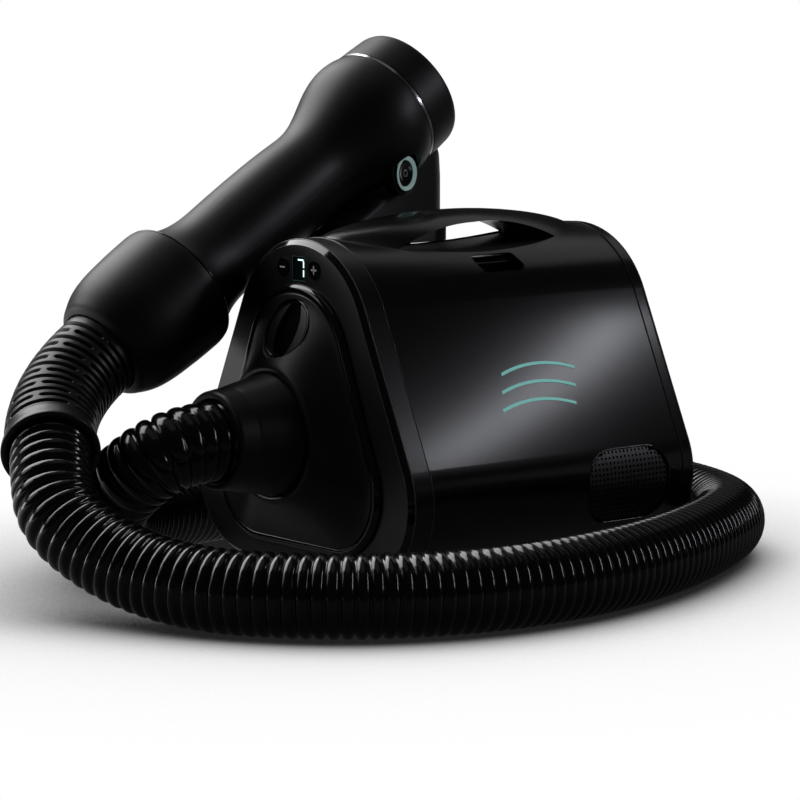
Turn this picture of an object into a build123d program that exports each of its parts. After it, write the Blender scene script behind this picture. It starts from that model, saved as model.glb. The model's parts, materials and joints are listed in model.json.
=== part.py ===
from build123d import *
import os
from math import cos, pi, radians, sin, sqrt, tan

# Canister dryer: a base unit with a carry handle, a corrugated hose laid round it, and a handpiece
# that stands in a cradle on the base's left side. Millimetres, +Z up, front towards -Y.
# The origin is the centre of the base's footprint, on the floor.

# ---- Base unit: a prism along Y whose section is a round top over two round feet ----
TOP_Z = 123.0
TOP_R = 57.0
FOOT_X = 48.5
FOOT_Z = 48.0
FOOT_R = 44.0
WALL = 3.0
FRONT_Y = -99.0
REAR_Y = 104.0
BEZEL_DEPTH = 15.0
REAR_DEPTH = 10.0
SHELL_FRONT_Y = FRONT_Y + BEZEL_DEPTH
SHELL_REAR_Y = REAR_Y - REAR_DEPTH
BODY_BOTTOM = FOOT_Z - FOOT_R
EDGE_CHAMFER = 3.0
REAR_FILLET = 4.0

# ---- Front cover: its own outline, rising to a round hole for the hose cuff ----
COVER_TOP_Z = 114.0
COVER_TOP_R = 40.5
COVER_FOOT_X = 33.0
COVER_FOOT_Z = 51.0
COVER_FOOT_R = 33.5
COVER_GROOVE = 2.5
COVER_WALL = 3.0
SOCKET_Z = 78.5
COVER_HOLE_R = 36.2
COVER_FACE_Y = FRONT_Y - 20.0
COVER_REAR_Y = FRONT_Y + 3.0

# ---- Hose and its cuff on the base ----
HOSE_R = 21.0
HOSE_BORE_R = 19.4
HOSE_FLOOR_Z = HOSE_R + 0.2
HOSE_CLEARANCE = 0.4
HOSE_TAIL = 22.0
CUFF_ROOT_R = 30.5
CUFF_END_R = 25.0
CUFF_END_Y = FRONT_Y - 57.0
CUFF_LIP = 8.0
SPIGOT_R = 29.0
SPIGOT_LENGTH = 30.0
SPIGOT_CLEARANCE = 0.05
SEAL_DEPTH = 1.2
AIR_BORE_R = 18.0

# ---- Latch in the upper slope of the front cover ----
LATCH_Y = FRONT_Y - 8.4
LATCH_Z = 133.0
LATCH_TILT = 25.0
LATCH_RING_R = 17.0
LATCH_BUTTON_R = 15.2
LATCH_DEPTH = 4.4
LATCH_RING_DEPTH = 9.0
LATCH_SINK = 0.4
LATCH_LENS_R = 26.0
LATCH_LENS_HALF = 8.5

CATCH_X = 24.0
CATCH_Z = 114.0

# ---- Display and its two buttons, high on the bezel ----
PANEL_Z = 164.6
PANEL_PITCH = 13.4
PANEL_BUTTON_R = 4.9
PANEL_BUTTON_GAP = 0.08
WINDOW_WIDTH = 10.6
WINDOW_HEIGHT = 12.8

# ---- Carry handle let into the top ----
HANDLE_Y = 3.0
HANDLE_HALF_LENGTH = 85.0
HANDLE_HALF_WIDTH = 32.0
HANDLE_TOP = 191.3
HANDLE_FLOOR = 167.6
HANDLE_POST_R = 13.0
HANDLE_POST_Y = 60.0

# ---- Slots high on both sides, and the exhaust low on the right ----
SLOT_Y = 6.5
SLOT_LENGTH = 31.0
SLOT_LOW_Z = 160.0
SLOT_HIGH_Z = 169.0
SLOT_DEPTH = 7.0
EXHAUST_Y = 54.0
EXHAUST_Z = 45.5
EXHAUST_LENGTH = 59.0
EXHAUST_HEIGHT = 40.0
EXHAUST_CORNER = 16.0

# ---- Motor and fan, on the socket's axis ----
HOUSING_R = 47.0
HOUSING_FRONT_Y = -70.0
HOUSING_REAR_Y = 52.0
SHAFT_R = 4.0
SHAFT_CLEARANCE = 0.05

# ---- Handpiece: a body of revolution about its own axis, from the cap seam to the hose end ----
WAND_SEAM = Vector(-79.0, 20.0, 240.7)
WAND_YAW = 4.0
WAND_PITCH = 30.8
WAND_WALL = 2.5
CAP_LENGTH = 24.0
CAP_SEAM_R = 37.5
CAP_MOUTH_R = 36.3
CAP_SEAT_R = 33.92
CUP_START = 174.0
CUP_END = 235.0
CUP_FIT = 0.35
SLEEVE_R = 23.6
SLEEVE_END = Vector(-33.0, -234.0, 82.0)
COLLAR_R = 25.0
COLLAR_LENGTH = 11.0
COLLAR_SINK = 4.0

# ---- Handle of the handpiece and its cradle ----
GRIP_WIDTH = 43.0
GRIP_FRONT_Y = -6.0
GRIP_REAR_Y = 57.5
GRIP_TOE_Y = -32.0
GRIP_BOTTOM = 177.0
GRIP_TOE_TOP = 190.0
CRADLE_WALL = 3.0
CRADLE_GAP = 0.5
CRADLE_BOTTOM = 168.0
CRADLE_TOP = 182.5

# ---- Switch on the handpiece ----
SWITCH_YAW = 16.8
SWITCH_CENTRE = Vector(-49.2, 14.3, 207.8)
SWITCH_BOSS_R = 12.6
SWITCH_BOSS_DEPTH = 7.9
SWITCH_RING_R = 11.0
SWITCH_BORE_R = 8.3
ROCKER_R = 7.5
ROCKER_THICK = 4.0
ROCKER_SINK = 1.6
ROCKER_AXLE_R = 1.2

# ---- Foot ring ----
FOOT_RING_WIDTH = 90.0
FOOT_RING_LENGTH = 150.0
FOOT_RING_BAND = 8.0

# The hose's route, from the base's cuff round the base to the handpiece, as hand-placed points.
HOSE_ROUTE = [
    (0, CUFF_END_Y + CUFF_LIP - 0.2, SOCKET_Z),
    (0, -169, SOCKET_Z),
    (-7, -187, 72),
    (-25, -196, 56),
    (-50, -189, 39.5),
    (-80, -166, 26),
    (-104, -132, HOSE_FLOOR_Z),
    (-118, -86, HOSE_FLOOR_Z),
    (-122, -30, HOSE_FLOOR_Z),
    (-121, 34, HOSE_FLOOR_Z),
    (-116, 100, HOSE_FLOOR_Z),
    (-80, 145, HOSE_FLOOR_Z),
    (-18, 158, HOSE_FLOOR_Z),
    (46, 152, HOSE_FLOOR_Z),
    (100, 126, HOSE_FLOOR_Z),
    (136, 70, HOSE_FLOOR_Z),
    (163, 8, HOSE_FLOOR_Z),
    (177, -56, HOSE_FLOOR_Z),
    (174, -118, HOSE_FLOOR_Z),
    (153, -170, HOSE_FLOOR_Z),
    (122, -203, HOSE_FLOOR_Z),
    (88, -225, 21.5),
    (54, -240, 27),
    (28, -251, 38),
    (6, -257, 52),
]


def tapered_face(top_z, top_r, foot_x, foot_z, foot_r):
    """A face in the XZ plane: a round top and two round feet, joined by straight sides."""
    along = Vector(foot_x, 0, foot_z - top_z)
    ratio = (top_r - foot_r) / along.length
    along = along.normalized()
    outward = Vector(-along.Z, 0, along.X)
    normal = along * ratio + outward * sqrt(1 - ratio**2)
    half_turn = (normal + Vector(0, 0, -1)).normalized()
    shoulder = Vector(0, 0, top_z) + normal * top_r
    hip = Vector(foot_x, 0, foot_z) + normal * foot_r
    bend = Vector(foot_x, 0, foot_z) + half_turn * foot_r
    heel = Vector(foot_x, 0, foot_z - foot_r)

    def flipped(p):
        return Vector(-p.X, p.Y, p.Z)

    edges = [
        ThreePointArc(flipped(shoulder), Vector(0, 0, top_z + top_r), shoulder),
        Line(shoulder, hip),
        ThreePointArc(hip, bend, heel),
        Line(heel, flipped(heel)),
        ThreePointArc(flipped(heel), flipped(bend), flipped(hip)),
        Line(flipped(hip), flipped(shoulder)),
    ]
    return Face(Wire(edges))


def base_face(inset):
    return tapered_face(TOP_Z, TOP_R - inset, FOOT_X, FOOT_Z, FOOT_R - inset)


def cover_face(inset):
    return tapered_face(
        COVER_TOP_Z, COVER_TOP_R - inset, COVER_FOOT_X, COVER_FOOT_Z, COVER_FOOT_R - inset
    )


def along_y(face, start, end):
    return extrude(Pos(0, start, 0) * face, amount=end - start, dir=(0, 1, 0))


def base_prism(inset, start, end):
    return along_y(base_face(inset), start, end)


def base_layer(outer, inner, start, end):
    return base_prism(outer, start, end) - base_prism(inner, start - 1, end + 1)


def y_cylinder(radius, start, end, x=0.0, z=SOCKET_Z):
    middle = (start + end) / 2
    return Pos(x, middle, z) * Rot(90, 0, 0) * Cylinder(radius, end - start)


def y_tube(outer, inner, start, end, x=0.0, z=SOCKET_Z):
    return y_cylinder(outer, start, end, x, z) - y_cylinder(inner, start - 1, end + 1, x, z)


def y_box(x_size, z_size, start, end, x=0.0, z=0.0):
    return Pos(x, (start + end) / 2, z) * Box(x_size, end - start, z_size)


def revolved(outline):
    """Turns a closed list of (radius, station) points about the Z axis."""
    corners = [Vector(r, 0, s) for r, s in outline]
    return revolve(Face(Wire.make_polygon(corners, close=True)), axis=Axis.Z)


def save(node, shape):
    shape.label = node
    export_step(shape, f"parts/{node}.step")


# ---- Base unit ----


def handle_height(y):
    reach = min(1.0, abs(y - HANDLE_Y) / HANDLE_HALF_LENGTH)
    crown = TOP_Z + TOP_R
    return crown + (HANDLE_TOP - crown) * (1 - reach**2) ** 0.75


def handle_section(y):
    """The handle's dome at one station: flush with the shell at its edges, round on top."""
    reach = abs(y - HANDLE_Y) / HANDLE_HALF_LENGTH
    half = HANDLE_HALF_WIDTH * sqrt(1 - reach**2)
    edge = TOP_Z + sqrt(TOP_R**2 - half**2)
    left = Vector(-half, y, edge)
    right = Vector(half, y, edge)
    low_left = Vector(-half, y, HANDLE_FLOOR)
    low_right = Vector(half, y, HANDLE_FLOOR)
    rim = ThreePointArc(left, Vector(0, y, handle_height(y)), right)
    return Face(Wire([Line(low_left, left), rim, Line(right, low_right), Line(low_right, low_left)]))


def handle_dome():
    stations = [-0.995, -0.96, -0.85, -0.65, -0.35, 0.0, 0.35, 0.65, 0.85, 0.96, 0.995]
    sections = [handle_section(HANDLE_Y + t * HANDLE_HALF_LENGTH) for t in stations]
    return loft(sections)


def handle_opening():
    """The finger gap: a lens through the handle, closed at the rear by a round-fronted post."""
    front = Vector(0, -54, 173)
    crown = Vector(0, 6, 185.2)
    rear = Vector(0, 63, 174)
    edges = [
        ThreePointArc(front, Vector(0, -22, 182.6), crown),
        ThreePointArc(crown, Vector(0, 40, 182.4), rear),
        ThreePointArc(rear, Vector(0, 3, 169.4), front),
    ]
    lens = extrude(Pos(-60, 0, 0) * Face(Wire(edges)), amount=120, dir=(1, 0, 0))
    post_centre = Pos(0, HANDLE_POST_Y, 180)
    post = post_centre * Cylinder(HANDLE_POST_R, 40)
    post += post_centre * Pos(0, 20, 0) * Box(2 * HANDLE_POST_R, 40, 40)
    return lens - post


def carry_handle():
    return handle_dome() - handle_opening()


def slot_prism(clearance):
    """A slot high on one side: a rounded parallelogram, run in along X."""
    low = SLOT_LOW_Z + clearance
    high = SLOT_HIGH_Z - clearance
    half = SLOT_LENGTH / 2 - clearance
    lean = 2.5
    corners = [
        Vector(0, SLOT_Y - half + lean, low),
        Vector(0, SLOT_Y + half + lean, low),
        Vector(0, SLOT_Y + half - lean, high),
        Vector(0, SLOT_Y - half - lean, high),
    ]
    outline = Face(Wire.make_polygon(corners, close=True))
    prism = extrude(outline, amount=70, dir=(1, 0, 0))
    return fillet(prism.edges().filter_by(Axis.X), 2.5)


def slot_pocket(clearance):
    """The slot's pocket: what of the prism lies within SLOT_DEPTH of the surface."""
    return slot_prism(clearance) - base_prism(SLOT_DEPTH, SHELL_FRONT_Y - 1, SHELL_REAR_Y + 1)


def exhaust_prism(inset):
    length = EXHAUST_LENGTH - 2 * inset
    height = EXHAUST_HEIGHT - 2 * inset
    block = Pos(80, EXHAUST_Y, EXHAUST_Z) * Box(60, length, height)
    return fillet(block.edges().filter_by(Axis.X), EXHAUST_CORNER - inset)


def main_shell():
    shell = base_prism(0, SHELL_FRONT_Y, SHELL_REAR_Y)
    cavity = base_prism(WALL, SHELL_FRONT_Y - 1, SHELL_REAR_Y + 1)
    roof_z = HANDLE_FLOOR - WALL
    roof = y_box(200, 60, HANDLE_Y - HANDLE_HALF_LENGTH - 4, SHELL_REAR_Y + 1, z=roof_z + 30)
    floor_hole = Pos(0, 0, BODY_BOTTOM) * Box(FOOT_RING_WIDTH - 6, FOOT_RING_LENGTH - 6, 4 * WALL)
    shell = shell - (cavity - roof) - handle_dome() - exhaust_prism(0) - floor_hole
    shell -= slot_pocket(0)
    return shell - mirror(slot_pocket(0), Plane.YZ)


def slot_ledge():
    """A thin bar across the right-hand slot, set back from the surface."""
    bar = Pos(40, SLOT_Y, 165.2) * Box(30, SLOT_LENGTH - 4, 1.8)
    return bar & base_layer(2.4, SLOT_DEPTH - 0.1, SHELL_FRONT_Y, SHELL_REAR_Y)


def front_bezel():
    frame = base_prism(0, FRONT_Y, SHELL_FRONT_Y)
    front_edges = frame.faces().sort_by(Axis.Y)[0].edges()
    frame = chamfer(front_edges, EDGE_CHAMFER)
    frame -= base_prism(WALL, FRONT_Y + 4, SHELL_FRONT_Y + 1)
    frame -= along_y(cover_face(-COVER_GROOVE), FRONT_Y - 1, SHELL_FRONT_Y + 1)
    for side in (-1, 1):
        bore = PANEL_BUTTON_R + PANEL_BUTTON_GAP
        frame -= y_cylinder(bore, FRONT_Y - 1, FRONT_Y + 6, x=side * PANEL_PITCH, z=PANEL_Z)
    return frame - y_box(WINDOW_WIDTH, WINDOW_HEIGHT, FRONT_Y - 1, FRONT_Y + 6, z=PANEL_Z)


def cover_seat():
    """The wall behind the front cover, which carries the socket and closes the bezel's opening."""
    seat = along_y(cover_face(-COVER_GROOVE), FRONT_Y + 5, SHELL_FRONT_Y)
    seat -= on_latch(Cylinder(LATCH_RING_R + 1, 40), 0)
    return seat - y_cylinder(HOUSING_R - 16, FRONT_Y, SHELL_FRONT_Y + 1)


def rear_cover():
    cover = base_prism(0, SHELL_REAR_Y, REAR_Y)
    rear_edges = cover.faces().sort_by(Axis.Y)[-1].edges()
    cover = fillet(rear_edges, REAR_FILLET)
    cover -= base_prism(WALL + 1, SHELL_REAR_Y - 1, REAR_Y - WALL)
    for row in range(7):
        slot = Box(70 - 3 * row, 20, 3)
        cover -= Pos(0, REAR_Y, 80 + 9 * row) * slot
    return cover - y_box(28, 20, REAR_Y - 15, REAR_Y + 1, z=38)


def bottom_plate():
    plate = Pos(0, 0, BODY_BOTTOM + WALL / 2) * Box(FOOT_RING_WIDTH - 6.4, FOOT_RING_LENGTH - 6.4, WALL)
    for y in (-20, 20):
        plate -= Pos(0, y, BODY_BOTTOM) * Box(50, 4, 4 * WALL)
    return plate


def foot_ring():
    """A non-slip ring round the footprint's centre, standing on the floor."""
    ring = Pos(0, 0, BODY_BOTTOM / 2) * Box(FOOT_RING_WIDTH, FOOT_RING_LENGTH, BODY_BOTTOM)
    ring = fillet(ring.edges().filter_by(Axis.Z), 20)
    inner = Box(FOOT_RING_WIDTH - 2 * FOOT_RING_BAND, FOOT_RING_LENGTH - 2 * FOOT_RING_BAND, 20)
    return ring - fillet(inner.edges().filter_by(Axis.Z), 12)


def plate_screws():
    screws = []
    for x in (-30, 30):
        for y in (-60, 60):
            screws.append(Pos(x, y, BODY_BOTTOM + WALL + 1) * Cylinder(3.5, 2))
    return Compound(children=screws)


def exhaust_grille():
    """A perforated panel let 1.6 mm into the right side, following its curve."""
    panel = base_layer(1.6, 3.4, SHELL_FRONT_Y, SHELL_REAR_Y) & exhaust_prism(0)
    hole = Pos(80, 0, 0) * Rot(0, 90, 0) * Cylinder(1.5, 60)
    for column in range(10):
        for row in range(7):
            y = EXHAUST_Y + 5.2 * (column - 4.5)
            z = EXHAUST_Z + 5.0 * (row - 3)
            if abs(column - 4.5) + abs(row - 3) < 6.5:
                panel -= Pos(0, y, z) * hole
    return panel


def exhaust_foam():
    return base_layer(3.6, 9, SHELL_FRONT_Y, SHELL_REAR_Y) & exhaust_prism(0.4)


def airflow_stroke(y, z, rise, width):
    """One arched stroke seen from the side, as a bar along X that the surface layer cuts."""
    low = [Vector(30, y - 26, z), Vector(30, y, z + rise), Vector(30, y + 26, z)]
    high = [p + Vector(0, 0, width) for p in reversed(low)]
    edges = [ThreePointArc(*low), Line(low[2], high[0]), ThreePointArc(*high), Line(high[2], low[0])]
    return extrude(Face(Wire(edges)), amount=70, dir=(1, 0, 0))


def emblem():
    """Three flowing strokes, an airflow sign, raised 0.3 mm on the right side."""
    layer = base_layer(-0.3, 0, SHELL_FRONT_Y, SHELL_REAR_Y)
    strokes = [airflow_stroke(2 + 3 * index, 90 + 9 * index, 4, 1.5) for index in range(3)]
    return Compound(children=[layer & stroke for stroke in strokes])


def display_window():
    width = WINDOW_WIDTH - 0.2
    height = WINDOW_HEIGHT - 0.2
    return y_box(width, height, FRONT_Y + 0.4, FRONT_Y + 2.0, z=PANEL_Z)


def display_digit():
    """The figure seven, as two lit bars on the window's face."""
    top = y_box(5.6, 1.1, FRONT_Y + 0.2, FRONT_Y + 0.4, x=1.2, z=PANEL_Z + 4.6)
    stem = y_box(1.1, 8.4, FRONT_Y + 0.2, FRONT_Y + 0.4, x=3.45, z=PANEL_Z - 0.7)
    return top + stem


def display_board():
    board = y_box(40, 14, FRONT_Y + 7.2, FRONT_Y + 8.6, z=PANEL_Z)
    return board & base_prism(WALL + 0.5, FRONT_Y, SHELL_FRONT_Y)


def panel_button(side):
    """A round key with a flange behind the bezel that keeps it in."""
    x = side * PANEL_PITCH
    key = y_cylinder(PANEL_BUTTON_R, FRONT_Y - 0.5, FRONT_Y + 5.0, x=x, z=PANEL_Z)
    flange = y_cylinder(PANEL_BUTTON_R + 0.9, FRONT_Y + 4.1, FRONT_Y + 5.6, x=x, z=PANEL_Z)
    return key + flange


def power_inlet():
    """The mains inlet's shell, let into the rear cover; its cavity holds the contact pins."""
    shell = y_box(27.6, 19.6, REAR_Y - 14, REAR_Y - 0.5, z=38)
    return shell - y_box(24, 16, REAR_Y - 12, REAR_Y + 1, z=38)


def inlet_pins():
    pins = []
    for x, z in ((-7, 36), (0, 40), (7, 36)):
        pins.append(y_box(2, 4, REAR_Y - 12, REAR_Y - 7, x=x, z=z))
    return Compound(children=pins)


# ---- Air path inside the base ----


def hose_spigot():
    """The fixed tube that leads the hose's air through the cover's wall to the motor housing."""
    tube = y_tube(SPIGOT_R, SPIGOT_R - WALL, FRONT_Y - SPIGOT_LENGTH, HOUSING_FRONT_Y)
    tube -= y_tube(SPIGOT_R + 1, SPIGOT_R - SEAL_DEPTH, FRONT_Y - 28.1, FRONT_Y - 24.9)
    return tube + y_tube(40, SPIGOT_R, SHELL_FRONT_Y, SHELL_FRONT_Y + 3)


def spigot_seal():
    """A soft ring in a groove round the spigot."""
    return y_tube(SPIGOT_R, SPIGOT_R - SEAL_DEPTH, FRONT_Y - 28, FRONT_Y - 25)


def filter_frame():
    frame = y_tube(43, 38, HOUSING_FRONT_Y + 4, HOUSING_FRONT_Y + 14)
    bars = y_box(76, 2, HOUSING_FRONT_Y + 4, HOUSING_FRONT_Y + 6, z=SOCKET_Z)
    bars += y_box(2, 76, HOUSING_FRONT_Y + 4, HOUSING_FRONT_Y + 6, z=SOCKET_Z)
    return frame + bars


def filter_foam():
    return y_cylinder(37.6, HOUSING_FRONT_Y + 6.2, HOUSING_FRONT_Y + 14)


def motor_housing():
    """A can with a round inlet in front and a closed back with a seat for the rear bearing."""
    can = y_tube(HOUSING_R, HOUSING_R - 3, HOUSING_FRONT_Y, HOUSING_REAR_Y)
    can += y_tube(HOUSING_R - 2, 26.2, HOUSING_FRONT_Y, HOUSING_FRONT_Y + 3)
    can += y_tube(HOUSING_R - 2, 11, HOUSING_REAR_Y - 6, HOUSING_REAR_Y)
    for turn in range(10):
        window = Pos(0, HOUSING_REAR_Y - 20, SOCKET_Z) * Rot(0, 36 * turn, 0)
        can -= window * Pos(0, 0, HOUSING_R) * Box(12, 14, 20)
    return can


def motor_stator():
    return y_tube(36, 25, 0, 34)


def motor_carrier():
    """The spider that holds the stator and the front bearing in the housing."""
    hub = y_tube(14, 11, -14, -4)
    disc = y_tube(HOUSING_R - 3.2, 14, -8, -4)
    rim = y_tube(40, 36, -4, 34)
    return hub + disc + rim - y_cylinder(5, -30, 40, x=25) - y_cylinder(5, -30, 40, x=-25)


def motor_rotor():
    return y_tube(24.4, SHAFT_R, 2, 32)


def motor_shaft():
    return y_cylinder(SHAFT_R, -40, HOUSING_REAR_Y - 1)


def shaft_bearing(start):
    return y_tube(11, SHAFT_R + SHAFT_CLEARANCE, start, start + 6)


def impeller():
    """A back plate, a hub and nine straight blades."""
    wheel = y_tube(40, SHAFT_R, -20, -17) + y_tube(12, SHAFT_R, -38, -17)
    blade = Pos(25, -26, SOCKET_Z) * Box(28, 14, 2)
    axis = Axis((0, 0, SOCKET_Z), (0, 1, 0))
    for turn in range(9):
        wheel += blade.rotate(axis, 40 * turn)
    return wheel


def housing_cradle():
    """Two saddles that stand on the base's floor and carry the motor housing."""
    saddles = []
    for y in (-45, 25):
        block = y_box(60, 40, y, y + 8, z=BODY_BOTTOM + WALL + 20)
        block -= y_cylinder(HOUSING_R, y - 1, y + 9)
        saddles.append(block & base_prism(WALL + 0.2, y - 1, y + 9))
    return Compound(children=saddles)


def control_board():
    return y_box(80, 1.6, -30, 60, z=135)


# ---- Front cover and latch ----


def cover_loft(inset, front, rear):
    """A straight-sided loft from the cover's outline to a near round at the hose cuff."""
    wide = Pos(0, rear, 0) * cover_face(inset)
    narrow_r = COVER_HOLE_R + 2.3 - inset
    narrow = Pos(0, front, 0) * tapered_face(SOCKET_Z + 0.8, narrow_r, 0.8, SOCKET_Z - 0.6, narrow_r)
    return loft([wide, narrow], ruled=True)


def latch_frame():
    """A plane on the cover's upper slope, its normal pointing out of the cover."""
    tilt = radians(LATCH_TILT)
    outward = Vector(0, -cos(tilt), sin(tilt))
    return Plane(origin=(0, LATCH_Y, LATCH_Z), x_dir=(1, 0, 0), z_dir=outward)


def on_latch(shape, height):
    return latch_frame().location * Pos(0, 0, height) * shape


def front_cover():
    skin = cover_loft(0, COVER_FACE_Y, FRONT_Y) + along_y(cover_face(0), FRONT_Y, COVER_REAR_Y)
    hollow = cover_loft(COVER_WALL, COVER_FACE_Y + COVER_WALL, FRONT_Y + 0.2)
    hollow += along_y(cover_face(COVER_WALL), FRONT_Y, COVER_REAR_Y + 1)
    cover = skin - hollow
    cover -= y_cylinder(COVER_HOLE_R, COVER_FACE_Y - 5, COVER_REAR_Y + 5)
    cover -= on_latch(Cylinder(LATCH_RING_R + 0.05, 30), 0)
    for index in range(4):
        x = 4.6 * (index - 1.5)
        cover -= y_box(1.8, 5, FRONT_Y - 25, FRONT_Y + 5, x=x, z=36)
    return cover


def latch_ring():
    """The round guide that the latch button slides in."""
    ring = Cylinder(LATCH_RING_R, LATCH_RING_DEPTH)
    ring -= Cylinder(LATCH_BUTTON_R + 0.06, 2 * LATCH_RING_DEPTH)
    return on_latch(ring, 0.3 - LATCH_RING_DEPTH / 2)


def latch_button():
    """A round button with a lens-shaped finger hollow across it."""
    body = Cylinder(LATCH_BUTTON_R, LATCH_DEPTH)
    offset = LATCH_LENS_R - LATCH_LENS_HALF
    disc = Cylinder(LATCH_LENS_R, 10)
    hollow = Pos(0, 0, 5) * (Pos(offset, 0, 0) * disc & Pos(-offset, 0, 0) * disc)
    return on_latch(body - hollow, -LATCH_DEPTH / 2 - LATCH_SINK)


def cover_catch():
    """Two small hooks on the cover's seat that hold the front cover."""
    hook = y_box(6, 3, FRONT_Y + 1, FRONT_Y + 5, x=CATCH_X, z=CATCH_Z)
    hook -= y_box(8, 2, FRONT_Y + 2.2, FRONT_Y + 3.6, x=CATCH_X, z=CATCH_Z + 1)
    return hook + mirror(hook, Plane.YZ)


# ---- Hose cuff on the base ----


def cuff_body():
    """A tapering tube that turns on the spigot and holds the hose's end in its lip."""
    root_y = COVER_FACE_Y + 1.5
    step_y = FRONT_Y - SPIGOT_LENGTH - 1.0
    bore_r = SPIGOT_R + SPIGOT_CLEARANCE
    shoulder = CUFF_END_Y + CUFF_LIP
    lip_r = HOSE_R + HOSE_CLEARANCE
    outline = [
        (bore_r, -root_y),
        (CUFF_ROOT_R, -root_y),
        (CUFF_ROOT_R, -step_y + 1),
        (CUFF_END_R + 1.6, -CUFF_END_Y - 12),
        (CUFF_END_R, -CUFF_END_Y - 2),
        (CUFF_END_R - 1.2, -CUFF_END_Y),
        (lip_r, -CUFF_END_Y),
        (lip_r, -shoulder),
        (AIR_BORE_R, -shoulder),
        (AIR_BORE_R, -step_y),
        (bore_r, -step_y),
    ]
    return Pos(0, 0, SOCKET_Z) * Rot(90, 0, 0) * revolved(outline)


def hose_cuff():
    return cuff_body()


# ---- Hose ----


def corner_radii(points):
    """Each corner's arc is as large as its two runs allow."""
    radii = []
    for before, here, after in zip(points, points[1:], points[2:]):
        arriving = here - before
        leaving = after - here
        turn = arriving.get_angle(leaving)
        shorter = min(arriving.length, leaving.length)
        radii.append(0.45 * shorter / tan(radians(turn) / 2))
    return radii


def hose():
    points = [Vector(*p) for p in HOSE_ROUTE] + hose_tail()
    radii = corner_radii(points)
    path = FilletPolyline(*points, radius=radii)
    section = Plane(origin=path @ 0, z_dir=path % 0) * (Circle(HOSE_R) - Circle(HOSE_BORE_R))
    tube = sweep(section, path=path)
    area = pi * (HOSE_R**2 - HOSE_BORE_R**2)
    print("hose length", round(path.length, 1), "radii", [round(r) for r in radii])
    print("hose volume", round(tube.volume), "section times length", round(area * path.length))
    return tube


# ---- Handpiece ----


def wand_direction():
    yaw = radians(WAND_YAW)
    pitch = radians(WAND_PITCH)
    return Vector(sin(yaw) * cos(pitch), -cos(yaw) * cos(pitch), -sin(pitch))


def wand_frame():
    """Its Z axis runs down the handpiece from the cap seam, and its X axis is level."""
    yaw = radians(WAND_YAW)
    return Plane(origin=WAND_SEAM, x_dir=(cos(yaw), sin(yaw), 0), z_dir=wand_direction())


def on_wand(shape):
    return wand_frame().location * shape


def barrel_profile(inset):
    """The handpiece's outer line from the cap seam to the hose cup, moved in by the inset."""
    points = [(37.4, 0), (36.6, 26), (29.8, 43), (25.8, 58), (26.0, 74), (26.7, 100), (26.5, 128), (27.0, 152)]
    return [Vector(r - inset, 0, s) for r, s in points]


def barrel_solid(inset, start=0.0, end=CUP_START - 1.0):
    """The barrel's revolved solid, filled to its axis."""
    line = barrel_profile(inset)
    first = Vector(line[0].X, 0, start)
    last = Vector(34.6 - inset, 0, end)
    curve = Spline(*([first] + line[1:] + [last]))
    top = Vector(0, 0, start)
    bottom = Vector(0, 0, end)
    face = Face(Wire([Line(top, first), curve, Line(last, bottom), Line(bottom, top)]))
    return revolve(face, axis=Axis.Z)


def barrel_shell():
    hollow = barrel_solid(WAND_WALL)
    hollow += Cylinder(34.8, 2)
    hollow += Pos(0, 0, CUP_START) * Cylinder(31.4, 4)
    return on_wand(barrel_solid(0) - hollow) - on_switch(Cylinder(SWITCH_RING_R + 0.02, 24))


def seam_ring():
    """The bright ring between the head and the intake cap."""
    ring = Cylinder(CAP_SEAM_R + 0.1, 1.6) - Cylinder(CAP_SEAT_R, 4)
    return on_wand(Pos(0, 0, -0.8) * ring)


def cap_seat():
    """The fixed collar that the intake cap turns on, standing up from the head's mouth."""
    flange = barrel_solid(WAND_WALL) & Pos(0, 0, 4) * Cylinder(40, 3)
    collar = Pos(0, 0, 1.1) * Cylinder(CAP_SEAT_R, 8.8)
    return on_wand(flange + collar - Cylinder(31, 20))


def intake_cap():
    """An open cup that air enters, turned off its seat by hand."""
    outline = [
        (34.0, -1.9),
        (CAP_SEAM_R, -1.9),
        (CAP_MOUTH_R + 0.6, -CAP_LENGTH + 3),
        (CAP_MOUTH_R - 0.6, -CAP_LENGTH),
        (CAP_MOUTH_R - 2.4, -CAP_LENGTH),
        (CAP_MOUTH_R - 3.2, -CAP_LENGTH + 2),
        (CAP_MOUTH_R - 2.8, -8),
        (30.0, -6),
        (30.0, -3.4),
        (34.0, -3.4),
    ]
    return on_wand(revolved(outline))


def intake_grille():
    """Rings and spokes across the cap's throat."""
    grille = Cylinder(29.9, 1.6) - Cylinder(27.5, 3)
    for radius in (8, 14, 20):
        grille += Cylinder(radius + 0.9, 1.6) - Cylinder(radius - 0.9, 3)
    for turn in range(3):
        grille += Rot(0, 0, 60 * turn) * Box(57, 1.6, 1.6)
    return on_wand(Pos(0, 0, -4.6) * grille)


def inner_tube():
    """The heat-proof liner that carries the air down the barrel."""
    liner = Cylinder(20.5, 96) - Cylinder(19.3, 98)
    return on_wand(Pos(0, 0, 98) * liner)


def heater_core():
    """A ceramic honeycomb with square cells."""
    core = Cylinder(19.2, 18)
    for row in range(-3, 4):
        for column in range(-3, 4):
            if row * row + column * column <= 10:
                core -= Pos(5.0 * row, 5.0 * column, 0) * Box(3.8, 3.8, 20)
    return on_wand(Pos(0, 0, 110) * core)


def liner_mount():
    """Rings that hold the liner in the barrel at both ends."""
    rings = []
    for s in (62, 132):
        outer = barrel_solid(WAND_WALL) & Pos(0, 0, s) * Cylinder(40, 4)
        rings.append(on_wand(outer - Pos(0, 0, s) * Cylinder(20.5, 6)))
    return Compound(children=rings)


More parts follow.
